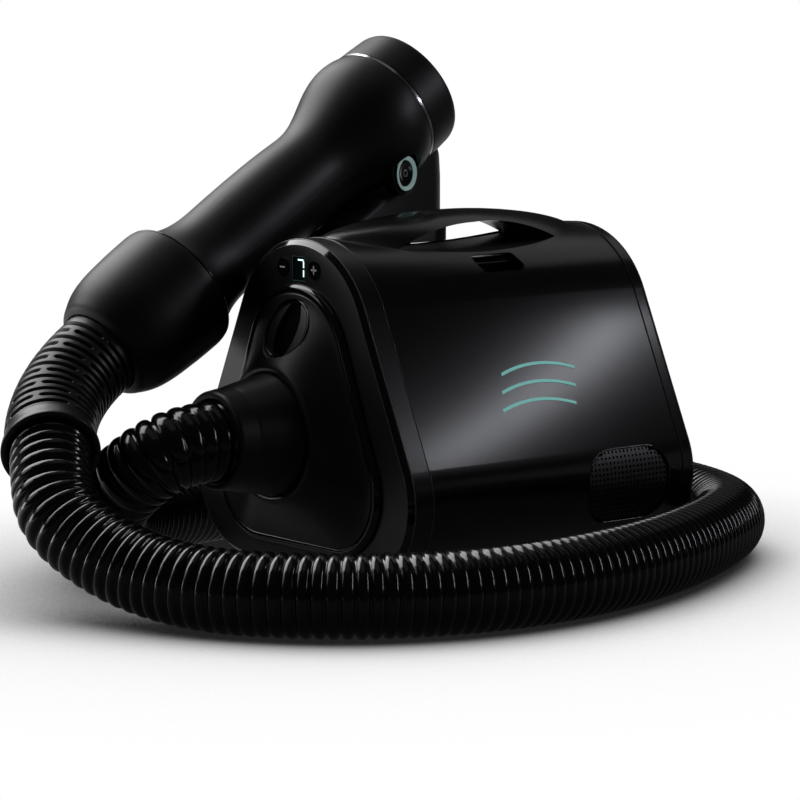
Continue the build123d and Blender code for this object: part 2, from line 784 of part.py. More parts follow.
def cup_outline(inset):
    return [
        (37.3 - inset, CUP_START),
        (37.2 - inset, 192),
        (36.0 - inset, 211),
        (33.8 - inset, 222),
        (30.4 - inset, 230),
        (25.4 - inset, CUP_END),
    ]


def hose_cup():
    """The turning cup over the hose end of the barrel."""
    outer = cup_outline(0)
    inner = cup_outline(WAND_WALL)
    mouth = SLEEVE_R + CUP_FIT
    outline = outer + [(mouth, CUP_END), (mouth, 230.5)]
    outline += [(r, s) for r, s in reversed(inner[1:4])]
    outline += [(inner[0][0], CUP_START + 3), (31.6, CUP_START + 3), (31.6, CUP_START)]
    return on_wand(revolved(outline))


def cup_trim():
    """A thin ring standing in the gap between the barrel and the cup."""
    ring = Cylinder(34.6, 0.7) - Cylinder(31.6, 2)
    return on_wand(Pos(0, 0, CUP_START - 0.5) * ring)


def cup_bearing():
    """The fixed flange inside the cup that it turns on, and that the sleeve grows from."""
    outline = [
        (AIR_BORE_R, 150),
        (22.6, 150),
        (22.6, CUP_START + 1.6),
        (31.52, CUP_START + 1.6),
        (31.52, CUP_START + 3),
        (23.6, CUP_START + 5),
        (23.6, 226),
        (AIR_BORE_R, 226),
    ]
    return on_wand(revolved(outline))


def sleeve_path():
    start = WAND_SEAM + wand_direction() * 226
    bend_start = WAND_SEAM + wand_direction() * CUP_END
    straight = Line(start, bend_start)
    bend = TangentArc(bend_start, SLEEVE_END, tangent=wand_direction())
    return straight, bend


def sleeve_exit():
    """Where the sleeve's bend ends, and the way that it points."""
    bend = sleeve_path()[1]
    return bend @ 1, bend % 1


def hose_tail():
    """The hose's last corner and its end, both on the line that the sleeve points along."""
    point, way = sleeve_exit()
    end = point + way * (COLLAR_LENGTH - COLLAR_SINK)
    return [end + way * HOSE_TAIL, end]


def strain_relief():
    """A curved sleeve from the cup, ending in a collar that grips the hose."""
    straight, bend = sleeve_path()
    ring = Circle(SLEEVE_R) - Circle(AIR_BORE_R)
    tube = sweep(Plane(origin=straight @ 0, z_dir=straight % 0) * ring, path=straight)
    tube += sweep(Plane(origin=bend @ 0, z_dir=bend % 0) * ring, path=bend)
    point, way = sleeve_exit()
    collar_outline = [
        (AIR_BORE_R, 0),
        (SLEEVE_R, 0),
        (COLLAR_R, 3.5),
        (COLLAR_R, COLLAR_LENGTH - 1),
        (COLLAR_R - 1, COLLAR_LENGTH),
        (HOSE_R + HOSE_CLEARANCE, COLLAR_LENGTH),
        (HOSE_R + HOSE_CLEARANCE, COLLAR_LENGTH - COLLAR_SINK),
        (AIR_BORE_R, COLLAR_LENGTH - COLLAR_SINK),
    ]
    collar = Plane(origin=point, z_dir=way).location * revolved(collar_outline)
    return tube + collar


# ---- Handpiece's handle ----


def grip_frame():
    """The handle's middle plane: it holds the handpiece's axis, and its X axis is level."""
    yaw = radians(WAND_YAW)
    return Plane(origin=(WAND_SEAM.X, WAND_SEAM.Y, 0), x_dir=(cos(yaw), sin(yaw), 0), z_dir=(0, 0, 1))


def stadium(width, front, rear, z, corner):
    """A rounded block outline across the handle, from front to rear, in the handle's frame."""
    length = rear - front
    outline = RectangleRounded(width, length, corner)
    return Pos(0, (front + rear) / 2, z) * outline


def grip_solid():
    """The handle: an upright rounded column with a toe that spreads forwards at its foot."""
    front = GRIP_FRONT_Y - WAND_SEAM.Y
    rear = GRIP_REAR_Y - WAND_SEAM.Y
    toe = GRIP_TOE_Y - WAND_SEAM.Y
    corner = GRIP_WIDTH / 2 - 3
    sections = [
        stadium(GRIP_WIDTH, toe, rear, GRIP_BOTTOM, corner),
        stadium(GRIP_WIDTH, toe + 6, rear, GRIP_BOTTOM + 6, corner),
        stadium(GRIP_WIDTH, front - 6, rear, GRIP_TOE_TOP, corner),
        stadium(GRIP_WIDTH, front, rear, 204, corner),
        stadium(GRIP_WIDTH, front + 2, rear - 1, 218, corner),
        stadium(GRIP_WIDTH - 8, front + 6, rear - 10, 232, corner - 4),
    ]
    return grip_frame().location * loft(sections, ruled=True)


def grip_cavity():
    """The upright hollow in the handle, for the switch and its leads."""
    front = GRIP_FRONT_Y - WAND_SEAM.Y + 1
    rear = GRIP_REAR_Y - WAND_SEAM.Y - WAND_WALL
    width = GRIP_WIDTH - 2 * WAND_WALL
    outline = stadium(width, front, rear, GRIP_BOTTOM + WAND_WALL, width / 2 - 3)
    return grip_frame().location * extrude(outline, amount=36, dir=(0, 0, 1))


def handle_grip():
    """The handle's shell, cut to the head and the barrel above it."""
    boss = on_switch(Pos(0, 0, -SWITCH_BOSS_DEPTH / 2) * Cylinder(SWITCH_BOSS_R, SWITCH_BOSS_DEPTH))
    grip = grip_solid() - grip_cavity() + boss
    clear = barrel_solid(-0.05) + Pos(0, 0, -14) * Cylinder(CAP_SEAM_R + 0.6, 28)
    grip -= on_wand(clear)
    grip -= on_switch(Cylinder(SWITCH_RING_R + 0.02, 16) + Pos(0, 0, -8.6) * Cylinder(SWITCH_BORE_R, 6))
    return grip.solids().sort_by(SortBy.VOLUME)[-1]


def grip_foot():
    """A weight plate on the floor of the handle's hollow."""
    middle = (GRIP_FRONT_Y + GRIP_REAR_Y) / 2 - WAND_SEAM.Y
    return grip_frame().location * Pos(0, middle, GRIP_BOTTOM + WAND_WALL + 3) * Box(26, 40, 6)


def switch_frame():
    """The switch's plane on the handle's right side, facing right and a little back."""
    yaw = radians(SWITCH_YAW)
    outward = Vector(cos(yaw), sin(yaw), 0)
    level = wand_direction() - outward * wand_direction().dot(outward)
    return Plane(origin=SWITCH_CENTRE, x_dir=level.normalized(), z_dir=outward)


def on_switch(shape):
    return switch_frame().location * shape


def switch_ring():
    """The bright ring round the rocker, standing on the handle's side."""
    ring = Pos(0, 0, -2.4) * Cylinder(SWITCH_RING_R, 6.4) - Cylinder(SWITCH_BORE_R, 20)
    return on_switch(ring)


def switch_body():
    """The switch's case, in the handle behind the rocker."""
    case = Pos(0, 0, -8.6) * Cylinder(SWITCH_BORE_R - 0.1, 5)
    return on_switch(case)


def rocker():
    """A three-position rocker: a round key on an axle that runs across the ring's bore."""
    block = Cylinder(ROCKER_R, ROCKER_THICK)
    axle = Rot(90, 0, 0) * Cylinder(ROCKER_AXLE_R, 2 * SWITCH_BORE_R - 0.3)
    return on_switch(Pos(0, 0, -ROCKER_SINK) * (block + axle))


# ---- Cradle on the base's left side ----


def cradle_tray():
    """An open tray that the handle's foot stands in."""
    frame = grip_frame().location
    rear = GRIP_REAR_Y - WAND_SEAM.Y
    toe = GRIP_TOE_Y - WAND_SEAM.Y
    around = CRADLE_GAP + CRADLE_WALL
    width = GRIP_WIDTH + 2 * around
    height = CRADLE_TOP - CRADLE_BOTTOM
    outline = stadium(width, toe - around, rear + around, CRADLE_BOTTOM, width / 2 - 3)
    tray = extrude(outline, amount=height, dir=(0, 0, 1))
    inner_width = GRIP_WIDTH + 2 * CRADLE_GAP
    inner = stadium(
        inner_width, toe - CRADLE_GAP, rear + CRADLE_GAP, GRIP_BOTTOM - 0.3, inner_width / 2 - 3
    )
    well = extrude(inner, amount=height, dir=(0, 0, 1))
    return frame * (tray - well)


def dock_cradle():
    """The tray and the arm that hangs it on the base's left side, with a tongue in the side slot."""
    line = [(-62, 176), (-52, 168), (-44, 163), (-30, 163), (-30, 148), (-46, 148)]
    profile = Face(Wire.make_polygon([Vector(x, 0, z) for x, z in line], close=True))
    arm = along_y(profile, SLOT_Y - 14, SLOT_Y + 14)
    tongue = mirror(slot_pocket(0.15), Plane.YZ) & base_layer(0, SLOT_DEPTH - 0.5, -60, 60)
    base = base_prism(0, SHELL_FRONT_Y, SHELL_REAR_Y)
    clear = on_wand(barrel_solid(-1.0))
    return (cradle_tray() + arm) - base - clear - handle_dome() + (tongue - handle_dome())


os.makedirs("parts", exist_ok=True)

save("main_shell", main_shell())
save("front_bezel", front_bezel())
save("cover_seat", cover_seat())
save("rear_cover", rear_cover())
save("bottom_plate", bottom_plate())
save("foot_ring", foot_ring())
save("plate_screws", plate_screws())
save("carry_handle", carry_handle())
save("slot_ledge", slot_ledge())
save("exhaust_grille", exhaust_grille())
save("exhaust_foam", exhaust_foam())
save("emblem", emblem())
save("display_window", display_window())
save("display_digit", display_digit())
save("display_board", display_board())
save("minus_button", panel_button(-1))
save("plus_button", panel_button(1))
save("power_inlet", power_inlet())
save("inlet_pins", inlet_pins())

save("hose_spigot", hose_spigot())
save("spigot_seal", spigot_seal())
save("filter_frame", filter_frame())
save("filter_foam", filter_foam())
save("motor_housing", motor_housing())
save("motor_carrier", motor_carrier())
save("motor_stator", motor_stator())
save("motor_rotor", motor_rotor())
save("motor_shaft", motor_shaft())
save("front_bearing", shaft_bearing(-11))
save("rear_bearing", shaft_bearing(HOUSING_REAR_Y - 6))
save("impeller", impeller())
save("housing_cradle", housing_cradle())
save("control_board", control_board())

save("front_cover", front_cover())
save("latch_ring", latch_ring())
save("latch_button", latch_button())
save("cover_catch", cover_catch())
save("hose_cuff", hose_cuff())
save("hose", hose())

save("barrel_shell", barrel_shell())
save("seam_ring", seam_ring())
save("cap_seat", cap_seat())
save("intake_cap", intake_cap())
save("intake_grille", intake_grille())
save("inner_tube", inner_tube())
save("heater_core", heater_core())
save("liner_mount", liner_mount())
save("hose_cup", hose_cup())
save("cup_trim", cup_trim())
save("cup_bearing", cup_bearing())
save("strain_relief", strain_relief())
save("handle_grip", handle_grip())
save("grip_foot", grip_foot())
save("switch_ring", switch_ring())
save("switch_body", switch_body())
save("rocker", rocker())
save("dock_cradle", dock_cradle())
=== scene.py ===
import json
import math

import bmesh
import bpy
from mathutils import Matrix, Vector


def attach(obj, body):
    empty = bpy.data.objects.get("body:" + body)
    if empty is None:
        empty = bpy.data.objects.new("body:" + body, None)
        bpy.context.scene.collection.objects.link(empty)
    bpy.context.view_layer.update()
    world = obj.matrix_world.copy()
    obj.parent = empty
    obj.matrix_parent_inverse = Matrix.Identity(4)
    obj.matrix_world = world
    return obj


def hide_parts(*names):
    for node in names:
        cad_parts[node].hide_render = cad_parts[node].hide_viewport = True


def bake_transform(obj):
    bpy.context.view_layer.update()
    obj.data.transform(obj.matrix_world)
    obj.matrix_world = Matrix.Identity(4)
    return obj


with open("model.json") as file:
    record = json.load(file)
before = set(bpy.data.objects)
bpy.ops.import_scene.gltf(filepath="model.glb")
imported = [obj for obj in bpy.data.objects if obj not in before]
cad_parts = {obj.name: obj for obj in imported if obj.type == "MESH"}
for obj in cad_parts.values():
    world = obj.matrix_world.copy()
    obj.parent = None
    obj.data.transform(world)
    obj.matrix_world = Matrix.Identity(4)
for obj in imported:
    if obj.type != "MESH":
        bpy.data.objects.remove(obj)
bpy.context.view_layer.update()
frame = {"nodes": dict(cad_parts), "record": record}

MM = 0.001
nodes = frame["nodes"]
scene = bpy.context.scene


# ---- Small helpers ----

def mesh_object(name, verts, faces, smooth=True):
    mesh = bpy.data.meshes.new(name)
    mesh.from_pydata([tuple(v) for v in verts], [], faces)
    mesh.update()
    for polygon in mesh.polygons:
        polygon.use_smooth = smooth
    obj = bpy.data.objects.new(name, mesh)
    scene.collection.objects.link(obj)
    return obj


def grid_faces(rows, columns, close_columns=True, close_rows=False):
    faces = []
    for i in range(rows if close_rows else rows - 1):
        for j in range(columns if close_columns else columns - 1):
            a = i * columns + j
            b = i * columns + (j + 1) % columns
            c = ((i + 1) % rows) * columns + (j + 1) % columns
            d = ((i + 1) % rows) * columns + j
            faces.append((a, b, c, d))
    return faces


def nurbs_points(route, resolution=24):
    """The points of a smooth spline through the control points in route, read from the evaluated curve."""
    curve = bpy.data.curves.new("route", "CURVE")
    curve.dimensions = "3D"
    curve.resolution_u = resolution
    spline = curve.splines.new("NURBS")
    spline.points.add(len(route) - 1)
    for point, place in zip(spline.points, route):
        point.co = (*place, 1.0)
    spline.order_u = 3
    spline.use_endpoint_u = True
    obj = bpy.data.objects.new("route", curve)
    scene.collection.objects.link(obj)
    bpy.context.view_layer.update()
    mesh = bpy.data.meshes.new_from_object(obj.evaluated_get(bpy.context.evaluated_depsgraph_get()))
    points = [v.co.copy() for v in mesh.vertices]
    bpy.data.objects.remove(obj)
    bpy.data.meshes.remove(mesh)
    return points


def resample(points, step):
    """Evenly spaced (station, point, tangent) along a polyline."""
    lengths = [0.0]
    for a, b in zip(points, points[1:]):
        lengths.append(lengths[-1] + (b - a).length)
    total = lengths[-1]
    count = max(2, round(total / step))
    out = []
    k = 0
    for i in range(count + 1):
        s = total * i / count
        while k < len(points) - 2 and lengths[k + 1] < s:
            k += 1
        span = max(lengths[k + 1] - lengths[k], 1e-9)
        t = (s - lengths[k]) / span
        out.append((s, points[k].lerp(points[k + 1], t)))
    result = []
    for i, (s, p) in enumerate(out):
        a = out[max(i - 1, 0)][1]
        b = out[min(i + 1, count)][1]
        result.append((s, p, (b - a).normalized()))
    return result


def carried_frames(samples):
    """A pair of cross directions carried along the samples without twist."""
    first = samples[0][2]
    side = first.cross(Vector((0, 0, 1)))
    if side.length < 1e-4:
        side = Vector((1, 0, 0))
    side.normalize()
    frames = []
    before = first
    for _, _, tangent in samples:
        turn = before.rotation_difference(tangent)
        side = (turn @ side)
        side = (side - tangent * side.dot(tangent)).normalized()
        frames.append((side, tangent.cross(side)))
        before = tangent
    return frames


# ---- Materials ----

def new_material(name):
    material = bpy.data.materials.new(name)
    material.use_nodes = True
    tree = material.node_tree
    shader = tree.nodes["Principled BSDF"]
    return material, tree, shader


def plastic(name, colour, rough, grain=0.0, grain_scale=1800.0, vary=0.06, coat=0.0, specular=0.5):
    """Moulded plastic: a colour with slight variation, a varied roughness and a fine moulded grain."""
    material, tree, shader = new_material(name)
    links = tree.links
    coords = tree.nodes.new("ShaderNodeTexCoord")
    broad = tree.nodes.new("ShaderNodeTexNoise")
    broad.inputs["Scale"].default_value = 22.0
    broad.inputs["Detail"].default_value = 4.0
    links.new(coords.outputs["Object"], broad.inputs["Vector"])
    tint = tree.nodes.new("ShaderNodeMixRGB")
    tint.inputs[1].default_value = (*[c * 0.88 for c in colour], 1)
    tint.inputs[2].default_value = (*[min(c * 1.12, 1) for c in colour], 1)
    links.new(broad.outputs["Fac"], tint.inputs[0])
    links.new(tint.outputs[0], shader.inputs["Base Color"])
    spread = tree.nodes.new("ShaderNodeMapRange")
    spread.inputs["To Min"].default_value = max(rough - vary, 0.02)
    spread.inputs["To Max"].default_value = rough + vary
    links.new(broad.outputs["Fac"], spread.inputs["Value"])
    links.new(spread.outputs["Result"], shader.inputs["Roughness"])
    shader.inputs["Specular IOR Level"].default_value = specular
    shader.inputs["Coat Weight"].default_value = coat
    shader.inputs["Coat Roughness"].default_value = 0.08
    if grain:
        fine = tree.nodes.new("ShaderNodeTexNoise")
        fine.inputs["Scale"].default_value = grain_scale
        fine.inputs["Detail"].default_value = 2.0
        links.new(coords.outputs["Object"], fine.inputs["Vector"])
        bump = tree.nodes.new("ShaderNodeBump")
        bump.inputs["Strength"].default_value = grain
        bump.inputs["Distance"].default_value = 0.0001
        links.new(fine.outputs["Fac"], bump.inputs["Height"])
        links.new(bump.outputs["Normal"], shader.inputs["Normal"])
    return material


def crown(material, along_y, along_z, middle):
    """A very slight outward crown over a flat wall: a height that falls off from middle."""
    tree = material.node_tree
    coords = tree.nodes.new("ShaderNodeTexCoord")
    parts = tree.nodes.new("ShaderNodeSeparateXYZ")
    tree.links.new(coords.outputs["Object"], parts.inputs[0])
    total = None
    for axis, centre, rate in (("Y", middle[1], along_y), ("Z", middle[2], along_z)):
        away = tree.nodes.new("ShaderNodeMath")
        away.operation = "SUBTRACT"
        tree.links.new(parts.outputs[axis], away.inputs[0])
        away.inputs[1].default_value = centre
        square = tree.nodes.new("ShaderNodeMath")
        square.operation = "MULTIPLY"
        tree.links.new(away.outputs[0], square.inputs[0])
        tree.links.new(away.outputs[0], square.inputs[1])
        scaled = tree.nodes.new("ShaderNodeMath")
        scaled.operation = "MULTIPLY"
        tree.links.new(square.outputs[0], scaled.inputs[0])
        scaled.inputs[1].default_value = -rate
        if total is None:
            total = scaled
        else:
            both = tree.nodes.new("ShaderNodeMath")
            both.operation = "ADD"
            tree.links.new(total.outputs[0], both.inputs[0])
            tree.links.new(scaled.outputs[0], both.inputs[1])
            total = both
    bump = tree.nodes.new("ShaderNodeBump")
    bump.inputs["Strength"].default_value = 1.0
    bump.inputs["Distance"].default_value = 1.0
    tree.links.new(total.outputs[0], bump.inputs["Height"])
    shader = tree.nodes["Principled BSDF"]
    if shader.inputs["Normal"].is_linked:
        grain = shader.inputs["Normal"].links[0].from_node
        tree.links.new(bump.outputs["Normal"], grain.inputs["Normal"])
    else:
        tree.links.new(bump.outputs["Normal"], shader.inputs["Normal"])


def metal(name, colour, rough):
    material, tree, shader = new_material(name)
    coords = tree.nodes.new("ShaderNodeTexCoord")
    noise = tree.nodes.new("ShaderNodeTexNoise")
    noise.inputs["Scale"].default_value = 400.0
    tree.links.new(coords.outputs["Object"], noise.inputs["Vector"])
    spread = tree.nodes.new("ShaderNodeMapRange")
    spread.inputs["To Min"].default_value = rough * 0.8
    spread.inputs["To Max"].default_value = rough * 1.2
    tree.links.new(noise.outputs["Fac"], spread.inputs["Value"])
    tree.links.new(spread.outputs["Result"], shader.inputs["Roughness"])
    shader.inputs["Base Color"].default_value = (*colour, 1)
    shader.inputs["Metallic"].default_value = 1.0
    return material


def glowing(name, colour, strength):
    material, tree, shader = new_material(name)
    shader.inputs["Base Color"].default_value = (*colour, 1)
    shader.inputs["Roughness"].default_value = 0.35
    shader.inputs["Emission Color"].default_value = (*colour, 1)
    shader.inputs["Emission Strength"].default_value = strength
    return material


shell_black = plastic("shell_black", (0.006, 0.0058, 0.006), 0.2, grain=0.05, vary=0.01)
crown(shell_black, 0.35, 2.2, (0, 0.005, 0.106))
bezel_side = plastic("bezel_side", (0.012, 0.012, 0.013), 0.26, grain=0.1, vary=0.02)
crown(bezel_side, 0.35, 2.2, (0, 0.005, 0.106))
bezel_satin = plastic("bezel_satin", (0.014, 0.014, 0.015), 0.34, grain=0.15, vary=0.03)
gloss_black = plastic("gloss_black", (0.006, 0.006, 0.007), 0.08, vary=0.02, coat=0.4)
hose_gloss = plastic("hose_gloss", (0.006, 0.006, 0.0065), 0.16, grain=0.03, vary=0.04, coat=0.2)
cuff_black = plastic("cuff_black", (0.012, 0.012, 0.013), 0.38, grain=0.2, vary=0.04)
soft_black = plastic("soft_black", (0.007, 0.007, 0.0075), 0.44, grain=0.25, vary=0.03)
exhaust_black = plastic("exhaust_black", (0.006, 0.006, 0.006), 0.4)
# Pale grey for thin lines along the bezel edges and the front seam: painted highlights.
painted_edge_highlight = plastic("painted_edge_highlight", (0.10, 0.10, 0.105), 0.25, coat=0.3)
# Pale grey for the scoop floor under the carry handle: painted light where light falls on the black shell.
scoop_painted_light = plastic("scoop_painted_light", (0.07, 0.068, 0.068), 0.5, grain=0.1)
window_edge = plastic("window_edge", (0.10, 0.22, 0.20), 0.3)
# Near-black and rough: painted shade in recesses (cover seat, handle post wall, exhaust foam, sleeve slot
# floors), and the dark rear seam, a real joint.
dark_seam_and_painted_shade = plastic("dark_seam_and_painted_shade", (0.004, 0.004, 0.004), 0.6)
bright_ring = metal("bright_ring", (0.5, 0.5, 0.52), 0.2)
# Emission on the switch's mint ring: a painted glow standing in for its bright reflection.
ring_mint_painted_glow = glowing("ring_mint_painted_glow", (0.42, 0.62, 0.60), 0.30)
mint = plastic("mint", (0.55, 0.80, 0.76), 0.18, vary=0.03, coat=0.5)
# Emission on the mint emblem: a painted glow that makes it brighter than plain plastic.
emblem_mint_painted_glow = glowing("emblem_mint_painted_glow", (0.20, 0.62, 0.57), 0.42)
lens_black = plastic("lens_black", (0.012, 0.014, 0.016), 0.10, vary=0.02)
lit_figure = glowing("lit_figure", (0.75, 0.95, 0.93), 1.2)
white_print = plastic("white_print", (0.75, 0.76, 0.76), 0.4)
steel = metal("steel", (0.5, 0.5, 0.52), 0.3)
brass = metal("brass", (0.8, 0.62, 0.3), 0.25)
inner_grey = plastic("inner_grey", (0.12, 0.12, 0.13), 0.5, grain=0.1)
liner_pale = plastic("liner_pale", (0.7, 0.67, 0.6), 0.6, grain=0.2)
foam_dark = plastic("foam_dark", (0.03, 0.03, 0.03), 0.9, grain=0.9, grain_scale=900.0)
rubber_black = plastic("rubber_black", (0.02, 0.02, 0.02), 0.7, grain=0.3)
board_green = plastic("board_green", (0.03, 0.14, 0.06), 0.4)

SLOT_LOOKS = {
    "shell_black": shell_black, "bezel_satin": bezel_satin, "gloss_black": gloss_black,
    "hose_gloss": hose_gloss, "cuff_black": cuff_black, "soft_black": soft_black,
    "bright_ring": bright_ring, "mint": mint, "lens_black": lens_black, "lit_figure": lit_figure,
    "steel": steel, "brass": brass, "inner_grey": inner_grey, "liner_pale": liner_pale,
    "foam": foam_dark, "rubber": rubber_black, "board": board_green,
}

for part in frame["record"]["subparts"]:
    node = nodes[part["node"]]
    node.data.materials.clear()
    node.data.materials.append(SLOT_LOOKS[part["material_slot"]])
# The emblem glows: painted light.
nodes["emblem"].data.materials[0] = emblem_mint_painted_glow
# Painted shade: the cover seat behind the cover is made near-black.
nodes["cover_seat"].data.materials[0] = dark_seam_and_painted_shade


# ---- Hose ----

HOSE_D = 42 * MM
LYING_Z = 21.2
HOSE_ROUTE = [
    (0, -148.2, 78.5), (0, -169, 78.5), (-7, -187, 72), (-25, -196, 56), (-50, -189, 39.5),
    (-80, -166, 26), (-104, -132, LYING_Z), (-118, -86, LYING_Z), (-122, -30, LYING_Z),
    (-121, 34, LYING_Z), (-116, 100, LYING_Z), (-80, 145, LYING_Z), (-18, 158, LYING_Z),
    (46, 152, LYING_Z), (100, 126, LYING_Z), (136, 70, LYING_Z), (163, 8, LYING_Z),
    (177, -56, LYING_Z), (174, -118, LYING_Z), (153, -170, LYING_Z), (122, -203, LYING_Z),
    (88, -225, 21.5), (54, -240, 27), (28, -251, 38), (6, -257, 52),
    (-11.3, -247.8, 68.7), (-27.8, -237.3, 78.8),
]


def smooth(t):
    t = min(max(t, 0.0), 1.0)
    return t * t * (3 - 2 * t)


def hose_pitch(station, length):
    """The ridges are pulled apart near the base's cuff and a little near the handpiece."""
    near_cuff = 1 - smooth(station / (140 * MM))
    near_wand = smooth((station - length + 330 * MM) / (200 * MM))
    return (6.1 + 0.9 * near_cuff + 0.6 * near_wand) * MM


def ridge_stations(length, per_ridge):
    """Stations along the hose, per_ridge to each ridge, with the part of a ridge that each is at."""
    stations = [(0.0, 0)]
    count = 0
    while stations[-1][0] < length:
        count += 1
        here = stations[-1][0]
        stations.append((here + hose_pitch(here, length) / per_ridge, count % per_ridge))
    return [(min(s, length), k) for s, k in stations]


def ridged_tube(name, points, outer, around=60, per_ridge=8):
    """A tube with half-round ridges and narrow valleys, swept along points."""
    fine = resample(points, 0.4 * MM)
    length = fine[-1][0]
    step = length / (len(fine) - 1)
    stations = ridge_stations(length, per_ridge)
    samples = []
    for station, _ in stations:
        place = min(station / step, len(fine) - 1.001)
        k = int(place)
        t = place - k
        centre = fine[k][1].lerp(fine[k + 1][1], t)
        heading = fine[k][2].lerp(fine[k + 1][2], t).normalized()
        samples.append((station, centre, heading))
    frames = carried_frames(samples)
    verts = []
    for (station, p, _), (side, up), (_, k) in zip(samples, frames, stations):
        across = 2 * k / per_ridge - 1
        depth = 0.5 * hose_pitch(station, length)
        radius = outer - depth * (1 - math.sqrt(max(1 - (0.985 * across) ** 2, 0)))
        for j in range(around):
            a = 2 * math.pi * j / around
            verts.append(p + (side * math.cos(a) + up * math.sin(a)) * radius)
    return mesh_object(name, verts, grid_faces(len(samples), around)), samples


HOSE_AROUND = 60
hose_line = nurbs_points([Vector(p) * MM for p in HOSE_ROUTE])
hose, hose_samples = ridged_tube("hose_ridged", hose_line, HOSE_D / 2, HOSE_AROUND)
hose_length = hose_samples[-1][0]
hose.data.materials.append(hose_gloss)
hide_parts("hose")
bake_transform(hose)
BEND_STRETCH, BEND_SPAN = 0.36, 0.34
weights = []
for station, _, _ in hose_samples:
    weights += [smooth((station - hose_length + BEND_STRETCH) / BEND_SPAN)] * HOSE_AROUND


# ---- Shapes shared by the other pieces ----

def rounded_line(points, radii, steps=5):
    """An outline with its corners rounded: radii has one value for each inner corner, 0 for none."""
    out = [Vector(points[0])]
    for before, here, after, radius in zip(points, points[1:], points[2:], radii):
        a, c, b = Vector(before), Vector(here), Vector(after)
        u, v = (a - c), (b - c)
        if radius <= 0:
            out.append(c)
            continue
        reach = min(radius, 0.49 * u.length, 0.49 * v.length)
        first, last = c + u.normalized() * reach, c + v.normalized() * reach
        for k in range(steps + 1):
            t = k / steps
            out.append(first * (1 - t) ** 2 + c * (2 * t * (1 - t)) + last * t * t)
    out.append(Vector(points[-1]))
    return out


def axis_frame(origin, way, level):
    """A 4x4 whose Z axis is way and whose X axis is level, at origin in millimetres."""
    z = Vector(way).normalized()
    x = (Vector(level) - z * Vector(level).dot(z)).normalized()
    y = z.cross(x)
    frame_matrix = Matrix((x, y, z)).transposed().to_4x4()
    frame_matrix.translation = Vector(origin) * MM
    return frame_matrix


def turned(name, outline, place, material, around=112, closed=False):
    """A body of revolution about the place's Z axis, from (radius, height) points in millimetres."""
    verts = []
    for r, h in outline:
        for j in range(around):
            a = 2 * math.pi * j / around
            verts.append(place @ Vector((r * MM * math.cos(a), r * MM * math.sin(a), h * MM)))
    obj = mesh_object(name, verts, grid_faces(len(outline), around, close_rows=closed))
    obj.data.materials.append(material)
    return obj


def bar(name, size, place, material, bevel=0.15):
    """A small block with soft edges, sized in millimetres."""
    mesh = bpy.data.meshes.new(name)
    work = bmesh.new()
    bmesh.ops.create_cube(work, size=1.0)
    bmesh.ops.scale(work, vec=[v * MM for v in size], verts=work.verts)
    bmesh.ops.bevel(work, geom=list(work.edges), offset=bevel * MM, segments=2, affect="EDGES")
    bmesh.ops.transform(work, matrix=place, verts=work.verts)
    work.to_mesh(mesh)
    work.free()
    obj = bpy.data.objects.new(name, mesh)
    scene.collection.objects.link(obj)
    mesh.materials.append(material)
    return obj


def thin_tube(name, points, radius, material, closed=False, around=8):
    """A fine line of round section through points in millimetres, such as a seam."""
    pts = [Vector(p) * MM for p in points]
    count = len(pts)
    samples = []
    for i, p in enumerate(pts):
        a = pts[i - 1] if (closed or i > 0) else pts[i]
        b = pts[(i + 1) % count] if (closed or i < count - 1) else pts[i]
        samples.append((0.0, p, (b - a).normalized()))
    frames = carried_frames(samples)
    verts = []
    for (_, p, _), (side, up) in zip(samples, frames):
        for j in range(around):
            t = 2 * math.pi * j / around
            verts.append(p + (side * math.cos(t) + up * math.sin(t)) * radius * MM)
    obj = mesh_object(name, verts, grid_faces(count, around, close_rows=closed))
    obj.data.materials.append(material)
    return obj


def paint(node_name, material, test):
    """Gives the CAD node's faces that meet the test (centre in millimetres, normal) a second material."""
    mesh = nodes[node_name].data
    mesh.materials.append(material)
    slot_index = len(mesh.materials) - 1
    for polygon in mesh.polygons:
        if test(polygon.center / MM, polygon.normal):
            polygon.material_index = slot_index


def finish_piece(obj, body, slot_name, *replaced):
    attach(obj, body)
    if replaced:
        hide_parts(*replaced)
    return obj


def tapered_outline(top_z, top_r, foot_x, foot_z, foot_r, step=2.0):
    """Points (x, z, normal x, normal z) round the base's or the cover's outline, evenly spaced."""
    along = Vector((foot_x, foot_z - top_z))
    ratio = (top_r - foot_r) / along.length
    along.normalize()
    outward = Vector((-along.y, along.x))
    normal = along * ratio + outward * math.sqrt(1 - ratio ** 2)
    lean = math.atan2(normal.x, normal.y)
    half = []
    count = max(6, round(top_r * lean / step))
    for k in range(count + 1):
        a = lean * k / count
        half.append((top_r * math.sin(a), top_z + top_r * math.cos(a), math.sin(a), math.cos(a)))
    shoulder, hip = half[-1], (foot_x + normal.x * foot_r, foot_z + normal.y * foot_r)
    span = math.hypot(hip[0] - shoulder[0], hip[1] - shoulder[1])
    count = max(4, round(span / step))
    for k in range(1, count):
        t = k / count
        half.append((shoulder[0] + (hip[0] - shoulder[0]) * t,
                     shoulder[1] + (hip[1] - shoulder[1]) * t, normal.x, normal.y))
    count = max(8, round(foot_r * (math.pi - lean) / step))
    for k in range(count + 1):
        a = lean + (math.pi - lean) * k / count
        half.append((foot_x + foot_r * math.sin(a), foot_z + foot_r * math.cos(a), math.sin(a), math.cos(a)))
    count = max(3, round(foot_x / step))
    for k in range(1, count):
        half.append((foot_x * (1 - k / count), foot_z - foot_r, 0.0, -1.0))
    left = [(-x, z, -nx, nz) for x, z, nx, nz in reversed(half[1:])]
    return half + [(0.0, foot_z - foot_r, 0.0, -1.0)] + left


